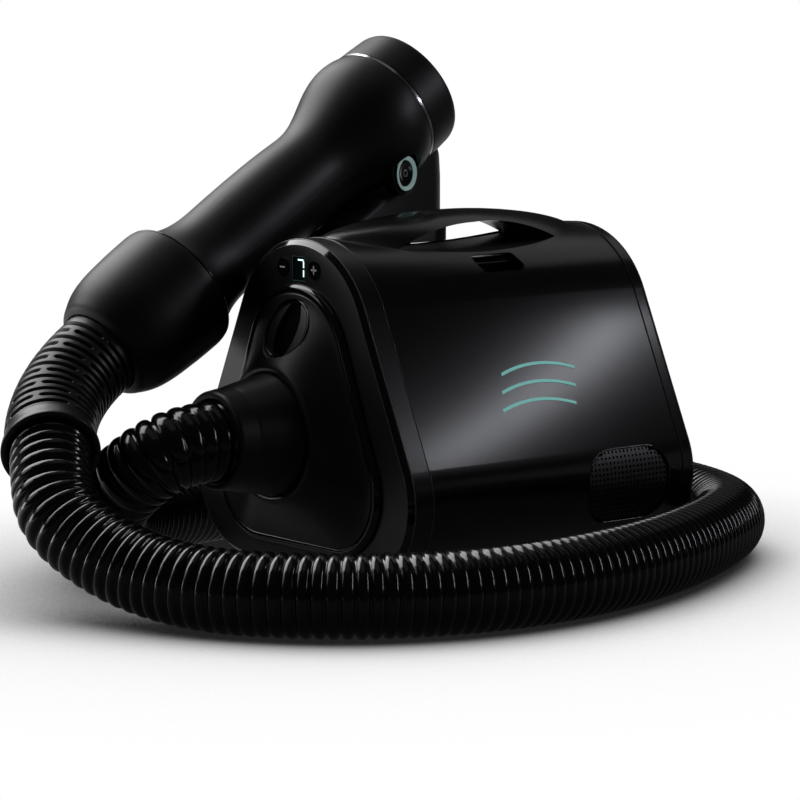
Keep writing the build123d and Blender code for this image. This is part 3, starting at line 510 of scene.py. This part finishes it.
# The outlines' arcs in millimetres, as tapered_outline takes them: top_z, top_r, foot_x, foot_z, foot_r.
BASE = (123.0, 57.0, 48.5, 48.0, 44.0)
COVER = (114.0, 40.5, 33.0, 51.0, 33.5)
FRONT = -99.0
SOCKET = Vector((0, 0, 78.5))


# ---- Base: seams, bezel, front cover, latch ----

def outline_line(name, y, lift, radius, material):
    """A fine line round the base at one station, lift millimetres out from its surface."""
    ring_points = [(x + nx * lift, y, z + nz * lift) for x, z, nx, nz in tapered_outline(*BASE)]
    return finish_piece(thin_tube(name, ring_points, radius, material, closed=True), "base", "bezel_satin")


# The front seam and the bezel's two edge lines carry painted highlights; the rear seam is a dark joint.
outline_line("seam_front", -84.0, 0.0, 0.30, painted_edge_highlight)
outline_line("seam_rear", 94.0, 0.05, 0.34, dark_seam_and_painted_shade)
outline_line("edge_outer", FRONT + 3.0, -0.12, 0.34, painted_edge_highlight)
outline_line("edge_inner", FRONT + 0.05, -3.0, 0.22, painted_edge_highlight)

paint("front_bezel", bezel_side, lambda c, n: c.y > -95.9 and abs(n.y) < 0.5 and max(abs(n.x), n.z) > 0.3)
paint("front_bezel", gloss_black, lambda c, n: -98.95 < c.y < -95.9 and abs(n.y) < 0.95 and abs(n.y) > 0.3)
nodes["latch_button"].data.materials[0] = bezel_satin
# Painted light: the scoop floor under the handle is made pale grey.
paint("carry_handle", scoop_painted_light, lambda c, n: n.z > 0.8 and abs(c.x) < 29 and -60 < c.y < 64
      and c.z < 170.3 + 4 * ((c.y - 3) / 57) ** 2)
# Painted shade: the post's wall at the back of the scoop is made near-black and rough.
paint("carry_handle", dark_seam_and_painted_shade, lambda c, n: abs(n.z) < 0.2 and c.y > 44 and abs(c.x) < 14
      and 168 < c.z < 187)
LATCH_CENTRE = Vector((0, -107.4, 133))
LATCH_OUT = Vector((0, -0.906, 0.423))
paint("latch_button", gloss_black, lambda c, n: (c - LATCH_CENTRE).dot(LATCH_OUT) < -0.6)


def cover_skin():
    """The front cover: a step at its rim, then a hollow curve that climbs to the hose cuff."""
    outline = tapered_outline(*COVER, step=1.6)
    hole_r, rim_width, rim_lift, climb_depth = 34.2, 2.3, -0.8, 19.0
    glossy_rows = 6
    rim = ((0.0, 3.0), (0.0, 0.5), (0.0, -0.5), (0.25, -1.0), (0.8, -1.3), (1.4, -1.2), (1.9, -0.85),
           (rim_width, rim_lift))
    rings = []
    for inset, lift in rim:
        rings.append([(x - nx * inset, FRONT + lift, z - nz * inset) for x, z, nx, nz in outline])
    start = [(x - nx * rim_width, z - nz * rim_width) for x, z, nx, nz in outline]
    steps = 26
    for k in range(1, steps + 1):
        u = k / steps
        ring = []
        for x, z in start:
            away = Vector((x, z - SOCKET.z))
            angle = math.atan2(away.y, away.x)
            goal = Vector((hole_r * math.cos(angle), hole_r * math.sin(angle) + SOCKET.z))
            climb = u ** 1.45
            ring.append((x + (goal.x - x) * u, FRONT + rim_lift - climb_depth * climb, z + (goal.y - z) * u))
        rings.append(ring)
    last = rings[-1]
    for back in (0.8, 5.0, 12.0):
        rings.append([(x, y + back, z) for x, y, z in last])
    verts = [Vector(p) * MM for ring in rings for p in ring]
    obj = mesh_object("cover_skin", verts, grid_faces(len(rings), len(outline)))
    obj.data.materials.append(bezel_satin)
    obj.data.materials.append(gloss_black)
    columns = len(outline)
    for index, polygon in enumerate(obj.data.polygons):
        if index // columns < glossy_rows:
            polygon.material_index = 1
    return obj


def cut_out(obj, cutters):
    """Takes the cutters' shapes out of obj and leaves a plain mesh."""
    for cutter in cutters:
        modifier = obj.modifiers.new("cut", "BOOLEAN")
        modifier.operation = "DIFFERENCE"
        modifier.solver = "EXACT"
        modifier.object = cutter
    bpy.context.view_layer.update()
    shaped = bpy.data.meshes.new_from_object(obj.evaluated_get(bpy.context.evaluated_depsgraph_get()))
    obj.modifiers.clear()
    obj.data = shaped
    for cutter in cutters:
        bpy.data.objects.remove(cutter)


LATCH = axis_frame(LATCH_CENTRE, (0, -0.9063, 0.4226), (1, 0, 0))
LATCH_HOLE_R = 16.9
AXIS_R = 0.001
cover = cover_skin()
hole = turned("cutter", [(AXIS_R, -12), (LATCH_HOLE_R, -12), (LATCH_HOLE_R, 12), (AXIS_R, 12)], LATCH,
              dark_seam_and_painted_shade, around=96)
SLITS, SLIT_PITCH, SLIT_RISE = 4, 4.4, 0.6
SLIT_LEAN = Matrix.Rotation(math.radians(-14), 4, "Y")
slits = []
for k in range(SLITS):
    slit_place = Vector((SLIT_PITCH * (k - 1.5), -103, 35.5 + SLIT_RISE * k)) * MM
    slits.append(bar("slit", (1.9, 14, 4.6), Matrix.Translation(slit_place) @ SLIT_LEAN, dark_seam_and_painted_shade,
                     bevel=0.5))
solid = cover.modifiers.new("wall", "SOLIDIFY")
solid.thickness = 2.2 * MM
solid.offset = -1
cut_out(cover, [hole] + slits)
finish_piece(cover, "front_cover", "bezel_satin", "front_cover")

rim_line = rounded_line([(15.3, -6), (15.3, 0.3), (LATCH_HOLE_R, 0.3), (LATCH_HOLE_R, -6)], [0.5, 0.5])
finish_piece(turned("latch_guide", rim_line, LATCH, gloss_black), "front_cover", "gloss_black", "latch_ring")


# ---- Base: display and buttons ----

PANEL_Z = 164.6
BUTTON_X = 13.4
BUTTON_PRINT_Y = FRONT - 0.6
DIGIT_Y = FRONT + 0.3
WINDOW_EDGE_Y = FRONT + 0.02
STROKE = 0.95
SEGMENT = 0.8


def front_bar(name, x, z, width, height, material, y):
    """A flat bar on the panel that faces the front."""
    place = Matrix.Translation(Vector((x, y, z)) * MM)
    return bar(name, (width, 0.3, height), place, material, bevel=0.08)


finish_piece(front_bar("print_minus", -BUTTON_X, PANEL_Z, 4.4, STROKE, white_print, BUTTON_PRINT_Y),
             "minus_button", "lit_figure")
finish_piece(front_bar("print_plus_level", BUTTON_X, PANEL_Z, 4.6, STROKE, white_print, BUTTON_PRINT_Y),
             "plus_button", "lit_figure")
finish_piece(front_bar("print_plus_upright", BUTTON_X, PANEL_Z, STROKE, 4.6, white_print, BUTTON_PRINT_Y),
             "plus_button", "lit_figure")
digit = [front_bar("digit_top", 1.1, 169.2, 4.6, SEGMENT, lit_figure, DIGIT_Y),
         front_bar("digit_upper", 3.6, 166.9, SEGMENT, 3.6, lit_figure, DIGIT_Y),
         front_bar("digit_lower", 3.6, 162.2, SEGMENT, 3.6, lit_figure, DIGIT_Y)]
for segment in digit:
    finish_piece(segment, "base", "lit_figure")
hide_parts("display_digit")
WINDOW_EDGES = (
    ("window_left", -5.3, PANEL_Z, 0.35, 12.8), ("window_right", 5.3, PANEL_Z, 0.35, 12.8),
    ("window_top", 0, 171.0, 11.0, 0.35), ("window_base", 0, 158.2, 11.0, 0.35),
)
for edge_name, x, z, w, h in WINDOW_EDGES:
    finish_piece(front_bar(edge_name, x, z, w, h, window_edge, WINDOW_EDGE_Y), "base", "mint")


# ---- Base: cuff ----

CUFF = axis_frame(SOCKET, (0, -1, 0), (1, 0, 0))
cuff_line = rounded_line(
    [(29.6, 117.6), (33.0, 117.6), (27.6, 143.6), (27.3, 144.6), (25.9, 154.9), (25.0, 156.0),
     (21.9, 156.0), (21.5, 150.0)],
    [0.8, 1.2, 0.6, 1.6, 1.2, 0.8])
finish_piece(turned("cuff_skin", cuff_line, CUFF, cuff_black), "base_cuff", "cuff_black", "hose_cuff")


# ---- Base: exhaust ----

def base_side_x(z, inset):
    """How far out the right side of the base is at height z, less the inset."""
    best = None
    ring = tapered_outline(*BASE, step=1.0)
    for (x0, z0, *_), (x1, z1, *_) in zip(ring, ring[1:]):
        if x0 > 0 and x1 > 0 and (z0 - z) * (z1 - z) <= 0 and z0 != z1:
            t = (z - z0) / (z1 - z0)
            best = max(best or 0, x0 + (x1 - x0) * t)
    return best - inset


# The opening's centre y, centre z, half width, half height and corner radius.
EXHAUST = (54.0, 45.5, 29.5, 20.0, 16.0)


def exhaust_mesh():
    """A dark panel with rows of small holes, following the side's curve, let in a little."""
    verts, faces = [], []
    pitch, hole_r, wall, let_in, margin = 2.8, 0.75, 1.0, 1.0, 0.4
    heights = {}

    def vert(y, z, depth):
        key = round(z, 3)
        if key not in heights:
            heights[key] = base_side_x(z, 0.0)
        verts.append(Vector((heights[key] - let_in - depth, y, z)) * MM)
        return len(verts) - 1

    centre_y, centre_z = EXHAUST[:2]
    half_y, half_z, corner = EXHAUST[2] - margin, EXHAUST[3] - margin, EXHAUST[4] - margin
    rows = int(2 * half_z / pitch)
    columns = int(2 * half_y / pitch)
    for row in range(rows):
        z = centre_z + (row - (rows - 1) / 2) * pitch
        for column in range(columns):
            y = centre_y + (column - (columns - 1) / 2) * pitch
            out_y = max(abs(y - centre_y) + pitch / 4 - (half_y - corner), 0)
            out_z = max(abs(z - centre_z) + pitch / 4 - (half_z - corner), 0)
            if math.hypot(out_y, out_z) > corner:
                continue
            square = [(-1, -1), (0, -1), (1, -1), (1, 0), (1, 1), (0, 1), (-1, 1), (-1, 0)]
            outer = [vert(y + a * pitch / 2, z + b * pitch / 2, 0) for a, b in square]
            circle = [math.atan2(b, a) for a, b in square]
            front = [vert(y + hole_r * math.cos(t), z + hole_r * math.sin(t), 0) for t in circle]
            back = [vert(y + hole_r * math.cos(t), z + hole_r * math.sin(t), wall) for t in circle]
            for k in range(8):
                n = (k + 1) % 8
                faces.append((outer[k], outer[n], front[n], front[k]))
                faces.append((front[k], front[n], back[n], back[k]))
    obj = mesh_object("exhaust_mesh", verts, faces, smooth=False)
    work = bmesh.new()
    work.from_mesh(obj.data)
    bmesh.ops.remove_doubles(work, verts=work.verts, dist=1e-6)
    bmesh.ops.recalc_face_normals(work, faces=work.faces)
    work.to_mesh(obj.data)
    work.free()
    obj.data.materials.append(exhaust_black)
    return obj


def exhaust_rim():
    """The rounded edge of the exhaust's opening, as a fine line on the side's curve."""
    centre_y, centre_z, half_y, half_z, corner = EXHAUST
    line = []
    for quarter, (side_y, side_z) in enumerate(((1, 1), (-1, 1), (-1, -1), (1, -1))):
        for k in range(9):
            a = math.pi / 2 * (quarter + k / 8)
            y = centre_y + side_y * (half_y - corner) + corner * math.cos(a)
            z = centre_z + side_z * (half_z - corner) + corner * math.sin(a)
            line.append((base_side_x(z, 0.12), y, z))
    return thin_tube("exhaust_rim", line, 0.42, gloss_black, closed=True)


finish_piece(exhaust_rim(), "base", "bezel_satin")
finish_piece(exhaust_mesh(), "base", "shell_black", "exhaust_grille")
# Painted shade: the foam behind the grille is made near-black in place of its own dark grey.
nodes["exhaust_foam"].data.materials[0] = dark_seam_and_painted_shade


# ---- Handpiece ----

YAW, PITCH = math.radians(4.0), math.radians(30.8)
SEAM = Vector((-79.0, 20.0, 240.7))
DOWN_WAND = Vector((math.sin(YAW) * math.cos(PITCH), -math.cos(YAW) * math.cos(PITCH),
                    -math.sin(PITCH)))
LEVEL = Vector((math.cos(YAW), math.sin(YAW), 0))
WAND = axis_frame(SEAM, DOWN_WAND, LEVEL)

cup_line = rounded_line(
    [(31.7, 177), (31.7, 174.2), (36.9, 174.2), (37.4, 178), (37.2, 192), (36.0, 211), (33.8, 222.5),
     (28.3, 232.8), (24.1, 235), (23.95, 230)],
    [0.6, 0.9, 3, 8, 8, 6, 5, 0.8], steps=7)
finish_piece(turned("cup_skin", cup_line, WAND, soft_black), "cup", "soft_black", "hose_cup")
ring_line = rounded_line(
    [(31.5, 174.2), (36.3, 174.2), (36.7, 173.4), (36.0, 172.6), (31.5, 172.6)],
    [0.4, 0.5, 0.5])
finish_piece(turned("cup_rim", ring_line, WAND, gloss_black), "cup", "gloss_black")
nodes["cup_trim"].data.materials[0] = gloss_black

cap_line = rounded_line(
    [(33.9, -3.2), (34.2, -1.9), (37.5, -1.9), (37.3, -10), (36.6, -21.5), (35.6, -24.0),
     (33.6, -24.0), (33.0, -21.0), (33.4, -8), (30.1, -6.0), (30.1, -3.6)],
    [0.3, 0.7, 4, 2, 1.2, 1.2, 2, 2, 1.0], steps=6)
finish_piece(turned("cap_skin", cap_line, WAND, soft_black), "cap", "soft_black", "intake_cap")


# ---- Handpiece: sleeve with slots ----

SLEEVE_START = SEAM + DOWN_WAND * 235
SLEEVE_END = Vector((-33.0, -234.0, 82.0))
chord = SLEEVE_END - SLEEVE_START
half_bend = DOWN_WAND.angle(chord)
BEND_R = chord.length / (2 * math.sin(half_bend))
inward = (chord - DOWN_WAND * chord.dot(DOWN_WAND)).normalized()
LEAD_IN = 7.0
SLEEVE_R = 23.6
SLOT_DEEP = 2.6


def sleeve_at(station):
    """The sleeve's centre and heading, from inside the cup to its end."""
    if station < LEAD_IN:
        return SLEEVE_START + DOWN_WAND * (station - LEAD_IN), DOWN_WAND
    turn = (station - LEAD_IN) / BEND_R
    centre = SLEEVE_START + DOWN_WAND * (BEND_R * math.sin(turn)) + inward * (BEND_R * (1 - math.cos(turn)))
    return centre, DOWN_WAND * math.cos(turn) + inward * math.sin(turn)


SLEEVE_LENGTH = LEAD_IN + 2 * half_bend * BEND_R
binormal = DOWN_WAND.cross(inward).normalized()


def slot_depth(station, angle):
    """How deep the sleeve is cut at a place: rows of long slots, each row turned half a slot on."""
    row_pitch, slot_half, first, last_row, land = 5.45, 1.15, 13.0, 12, 3.6
    row = round((station - first) / row_pitch)
    if row < 0 or row > last_row:
        return 0.0
    across = abs(station - first - row * row_pitch)
    step = 2 * math.pi / 4
    turned_angle = angle + (step / 2 if row % 2 else 0.0)
    along = abs((turned_angle + step / 2) % step - step / 2) * SLEEVE_R
    reach = 0.5 * step * SLEEVE_R - land
    distance_out = math.hypot(max(along - reach, 0), across) - slot_half
    return SLOT_DEEP * smooth(0.5 - distance_out / 0.5)


def sleeve_mesh():
    """The bent sleeve with its slots pressed in, with painted shade on their floors."""
    row_step, floor_cut = 0.36, 1.6
    rows = int(SLEEVE_LENGTH / row_step)
    around = 168
    verts, deep = [], []
    for i in range(rows + 1):
        station = SLEEVE_LENGTH * i / rows
        centre, heading = sleeve_at(station)
        across = binormal.cross(heading)
        for j in range(around):
            a = 2 * math.pi * j / around
            cut = slot_depth(station, a)
            deep.append(cut)
            spoke = binormal * math.cos(a) + across * math.sin(a)
            verts.append((centre + spoke * (SLEEVE_R - cut)) * MM)
    faces = grid_faces(rows + 1, around)
    obj = mesh_object("sleeve_slotted", verts, faces)
    obj.data.materials.append(cuff_black)
    obj.data.materials.append(dark_seam_and_painted_shade)
    # Painted shade: faces deep in a slot get the near-black material.
    for polygon in obj.data.polygons:
        if min(deep[v] for v in polygon.vertices) > floor_cut:
            polygon.material_index = 1
    return obj


finish_piece(sleeve_mesh(), "handpiece", "cuff_black", "strain_relief")
exit_way = sleeve_at(SLEEVE_LENGTH)[1]
COLLAR = axis_frame(SLEEVE_END, exit_way, binormal)
collar_line = rounded_line(
    [(23.5, -1.0), (23.7, 1.0), (24.2, 4.0), (25.3, 8.0), (25.5, 10.6), (23.6, 11.2), (21.5, 10.6),
     (21.4, 6.0)],
    [1, 2, 2, 1.5, 1.2, 0.8])
finish_piece(turned("sleeve_collar", collar_line, COLLAR, cuff_black), "handpiece", "cuff_black")


# ---- Handpiece: handle ----

GRIP = axis_frame((SEAM.x, SEAM.y, 0), (0, 0, 1), LEVEL)


def grip_mesh():
    """The handle as stacked rounded sections, with a toe at its foot and softened ends."""
    foot_z, top_z, foot_r = 177, 233, 2.0
    # Height, then the section's front, rear and half width.
    keys = [(foot_z, -52.0, 37.5, 21.5), (183, -46.5, 37.5, 21.5), (190, -32.5, 37.5, 21.5),
            (197, -27.5, 37.5, 21.5), (204, -26.0, 37.5, 21.5), (218, -24.0, 36.5, 21.5),
            (226, -22.0, 32.5, 20.0), (top_z, -20.0, 27.0, 17.0)]

    def key_at(z):
        for a, b in zip(keys, keys[1:]):
            if a[0] <= z <= b[0]:
                t = (z - a[0]) / (b[0] - a[0])
                return [a[i] + (b[i] - a[i]) * t for i in range(1, 4)]
        return list(keys[-1][1:])

    stations = [foot_z + 0.25 * k for k in range(8)] + [foot_z + foot_r + 1.5 * k for k in range(37)]
    around = 96
    verts = []
    for z in stations:
        smoothed = [0.0, 0.0, 0.0]
        for offset in (-3, -1.5, 0, 1.5, 3):
            got = key_at(min(max(z + offset, foot_z), top_z))
            smoothed = [s + g / 5 for s, g in zip(smoothed, got)]
        front, rear, half = smoothed
        under = max(0.0, foot_z + foot_r - z)
        inset = foot_r - math.sqrt(max(foot_r * foot_r - under * under, 0.0))
        front, rear, half = front + inset, rear - inset, half - inset
        middle, reach = (front + rear) / 2, (rear - front) / 2
        for j in range(around):
            a = 2 * math.pi * j / around
            c, d = math.cos(a), math.sin(a)
            corner = min(half, reach) * 0.86
            x = math.copysign(half - corner, c) + corner * c if abs(c) > 1e-9 else 0
            y = math.copysign(reach - corner, d) + corner * d if abs(d) > 1e-9 else 0
            verts.append(GRIP @ Vector((x * MM, (middle + y) * MM, z * MM)))
    faces = grid_faces(len(stations), around)
    faces.append(tuple(reversed(range(around))))
    obj = mesh_object("grip_skin", verts, faces)
    obj.data.materials.append(soft_black)
    return obj


grip = grip_mesh()
SIDE_YAW = math.radians(16.8)
SIDE_OUT = Vector((math.cos(SIDE_YAW), math.sin(SIDE_YAW), 0))
side_level = (DOWN_WAND - SIDE_OUT * DOWN_WAND.dot(SIDE_OUT)).normalized()
SWITCH = axis_frame((-49.2, 14.3, 207.8), SIDE_OUT, side_level)
boss_line = rounded_line([(11.1, -7.8), (11.1, -0.1), (12.5, -0.1), (12.6, -7.8)], [0.4, 1.0])
finish_piece(turned("switch_boss", boss_line, SWITCH, soft_black, around=72), "handpiece", "soft_black")
well = turned("cutter", [(AXIS_R, -9), (10.9, -9), (10.9, 12), (AXIS_R, 12)], SWITCH, dark_seam_and_painted_shade,
              around=96)
cut_out(grip, [well])
finish_piece(grip, "handpiece", "soft_black", "handle_grip")

switch_outer = rounded_line([(10.9, -5), (11.0, 0.2), (10.7, 0.9), (9.7, 1.0), (9.5, -3)], [0.4, 0.4, 0.4])
finish_piece(turned("switch_bezel", switch_outer, SWITCH, gloss_black, around=72),
             "handpiece", "gloss_black", "switch_ring")
switch_inner = rounded_line([(9.7, -3), (9.6, 1.2), (8.9, 1.7), (8.4, 1.1), (8.3, -5)], [0.4, 0.5, 0.4])
# The mint ring glows: painted light for its bright reflection.
finish_piece(turned("switch_bright", switch_inner, SWITCH, ring_mint_painted_glow, around=72), "handpiece", "mint")
rocker_line = rounded_line(
    [(0.01, -0.3), (4.0, -0.1), (6.6, 0.5), (7.5, 0.2), (7.6, -3.5), (0.01, -3.6)],
    [2, 1.5, 0.5, 0.6, 0])
finish_piece(turned("rocker_cap", rocker_line, SWITCH, gloss_black, around=72),
             "rocker", "gloss_black", "rocker")


def on_switch(x, height):
    """A place on the rocker, x along the wand and height out from the ring."""
    return SWITCH @ Matrix.Translation(Vector((x, 0, height)) * MM)


MARK_SIZE, MARK_HEIGHT = (0.5, 2.8, 0.3), 0.25
ZERO_R, ZERO_STROKE_R, ZERO_SINK, ZERO_STEPS = 1.75, 0.28, -0.05, 10
zero_line = []
for k in range(ZERO_STEPS):
    t = 2 * math.pi * k / ZERO_STEPS
    zero_line.append((ZERO_R + ZERO_STROKE_R * math.cos(t), ZERO_SINK + ZERO_STROKE_R * math.sin(t)))
finish_piece(turned("mark_off", zero_line, on_switch(0, 0), white_print, around=32, closed=True),
             "rocker", "lit_figure")
finish_piece(bar("mark_one", MARK_SIZE, on_switch(4.9, MARK_HEIGHT), white_print, bevel=0.08),
             "rocker", "lit_figure")
for index, x in enumerate((-5.4, -4.4)):
    finish_piece(bar(f"mark_two_{index}", MARK_SIZE, on_switch(x, MARK_HEIGHT), white_print, bevel=0.08),
                 "rocker", "lit_figure")


# ---- Stage, light and camera ----

def area_light(name, place, aim, size, power, colour=(1, 1, 1), turn=0.0):
    data = bpy.data.lights.new(name, "AREA")
    data.shape = "RECTANGLE"
    data.size, data.size_y = size
    data.energy = power
    data.color = colour
    light = bpy.data.objects.new(name, data)
    scene.collection.objects.link(light)
    light.location = place
    way = Vector(aim) - Vector(place)
    facing = way.to_track_quat("-Z", "Y").to_matrix()
    light.rotation_euler = (facing @ Matrix.Rotation(turn, 3, "Z")).to_euler()
    return light


FLOOR_REACH = 40
floor = mesh_object(
    "floor",
    [(-FLOOR_REACH, -FLOOR_REACH, 0), (FLOOR_REACH, -FLOOR_REACH, 0),
     (FLOOR_REACH, FLOOR_REACH, 0), (-FLOOR_REACH, FLOOR_REACH, 0)],
    [(0, 1, 2, 3)], smooth=False)
floor_look, floor_tree, floor_shader = new_material("floor_white")
floor_shader.inputs["Roughness"].default_value = 0.6
floor_shader.inputs["Base Color"].default_value = (0.06, 0.06, 0.06, 1)
floor_shader.inputs["Emission Color"].default_value = (1, 1, 1, 1)
# What the object sees of the floor: it is brighter towards -X.
floor_place = floor_tree.nodes.new("ShaderNodeTexCoord")
floor_parts = floor_tree.nodes.new("ShaderNodeSeparateXYZ")
floor_tree.links.new(floor_place.outputs["Object"], floor_parts.inputs[0])
floor_left = floor_tree.nodes.new("ShaderNodeMapRange")
floor_left.inputs["From Min"].default_value = -0.05
floor_left.inputs["From Max"].default_value = -0.36
floor_left.inputs["To Min"].default_value = 0.02
floor_left.inputs["To Max"].default_value = 0.5
floor_tree.links.new(floor_parts.outputs["X"], floor_left.inputs["Value"])
floor_tree.links.new(floor_left.outputs["Result"], floor_shader.inputs["Emission Strength"])
# What the camera sees of the floor: white, with a painted shadow close to the object, from ambient
# occlusion.
shade = floor_tree.nodes.new("ShaderNodeAmbientOcclusion")
shade.samples = 8
shade.inputs["Distance"].default_value = 0.22
shade_ramp = floor_tree.nodes.new("ShaderNodeValToRGB")
shade_ramp.color_ramp.elements[0].position = 0.30
shade_ramp.color_ramp.elements[0].color = (0.015, 0.015, 0.016, 1)
shade_ramp.color_ramp.elements[1].position = 0.97
shade_ramp.color_ramp.elements[1].color = (1, 1, 1, 1)
middle_stop = shade_ramp.color_ramp.elements.new(0.72)
middle_stop.color = (0.52, 0.51, 0.52, 1)
floor_tree.links.new(shade.outputs["AO"], shade_ramp.inputs[0])
floor_painted_shadow = floor_tree.nodes.new("ShaderNodeEmission")
floor_painted_shadow.inputs["Strength"].default_value = 1.0
floor_tree.links.new(shade_ramp.outputs[0], floor_painted_shadow.inputs["Color"])
floor_ray = floor_tree.nodes.new("ShaderNodeLightPath")
floor_mix = floor_tree.nodes.new("ShaderNodeMixShader")
floor_tree.links.new(floor_ray.outputs["Is Camera Ray"], floor_mix.inputs[0])
floor_tree.links.new(floor_shader.outputs[0], floor_mix.inputs[1])
floor_tree.links.new(floor_painted_shadow.outputs[0], floor_mix.inputs[2])
floor_tree.links.new(floor_mix.outputs[0], floor_tree.nodes["Material Output"].inputs["Surface"])
floor.data.materials.append(floor_look)

world = bpy.data.worlds.new("studio")
scene.world = world
world.use_nodes = True
tree = world.node_tree
backdrop = tree.nodes["Background"]
backdrop.inputs["Color"].default_value = (1, 1, 1, 1)
backdrop.inputs["Strength"].default_value = 1.0
room = tree.nodes.new("ShaderNodeBackground")
room.inputs["Color"].default_value = (0.9, 0.92, 1.0, 1)
room.inputs["Strength"].default_value = 0.017
ray = tree.nodes.new("ShaderNodeLightPath")
mix = tree.nodes.new("ShaderNodeMixShader")
tree.links.new(ray.outputs["Is Camera Ray"], mix.inputs[0])
tree.links.new(room.outputs[0], mix.inputs[1])
tree.links.new(backdrop.outputs[0], mix.inputs[2])
tree.links.new(mix.outputs[0], tree.nodes["World Output"].inputs["Surface"])


def from_side(azimuth, elevation, distance):
    """A place seen from the object: azimuth is measured from +X towards +Y, both angles in degrees."""
    a, e = math.radians(azimuth), math.radians(elevation)
    return Vector((math.cos(a) * math.cos(e), math.sin(a) * math.cos(e), math.sin(e))) * distance


PANEL = Vector((0.07, 0.0, 0.09))
area_light("panel_strip", PANEL + from_side(47, 25.5, 2.2), PANEL, (0.15, 1.4), 5.5,
           (0.91, 0.92, 1.0), turn=math.radians(-60))
area_light("left_softbox", from_side(-168, 44, 2.1), (0, -0.05, 0.12), (1.7, 1.5), 29)
area_light("front_left", from_side(-131, 30, 2.1), (0, -0.05, 0.12), (0.8, 0.8), 2.2)
area_light("left_back", from_side(158, 40, 2.1), (-0.05, -0.05, 0.18), (1.1, 0.8), 2.8)
area_light("front_left_low", from_side(-142, 7, 1.6), (0, -0.1, 0.12), (0.6, 0.36), 2.2)
area_light("top_back", from_side(118, 42, 2.2), (0, 0.05, 0.15), (1.0, 0.8), 0.6)
area_light("overhead", (0, 0, 2.0), (0, 0, 0.1), (1.3, 1.3), 0.6)

camera_data = bpy.data.cameras.new("camera")
camera_data.lens = 144.0
camera_data.sensor_width = 36.0
camera_data.clip_end = 60.0
camera = bpy.data.objects.new("camera", camera_data)
scene.collection.objects.link(camera)
AIM = Vector((-41.5, 4, 82)) * MM
azimuth, elevation, distance = math.radians(50.5), math.radians(7.6), 1787.7 * MM
back = Vector((math.sin(azimuth) * math.cos(elevation), -math.cos(azimuth) * math.cos(elevation),
               math.sin(elevation)))
camera.location = AIM + back * distance
camera.rotation_mode = "QUATERNION"
camera.rotation_quaternion = (-back).to_track_quat("-Z", "Y")
scene.camera = camera
scene.view_settings.view_transform = "Standard"
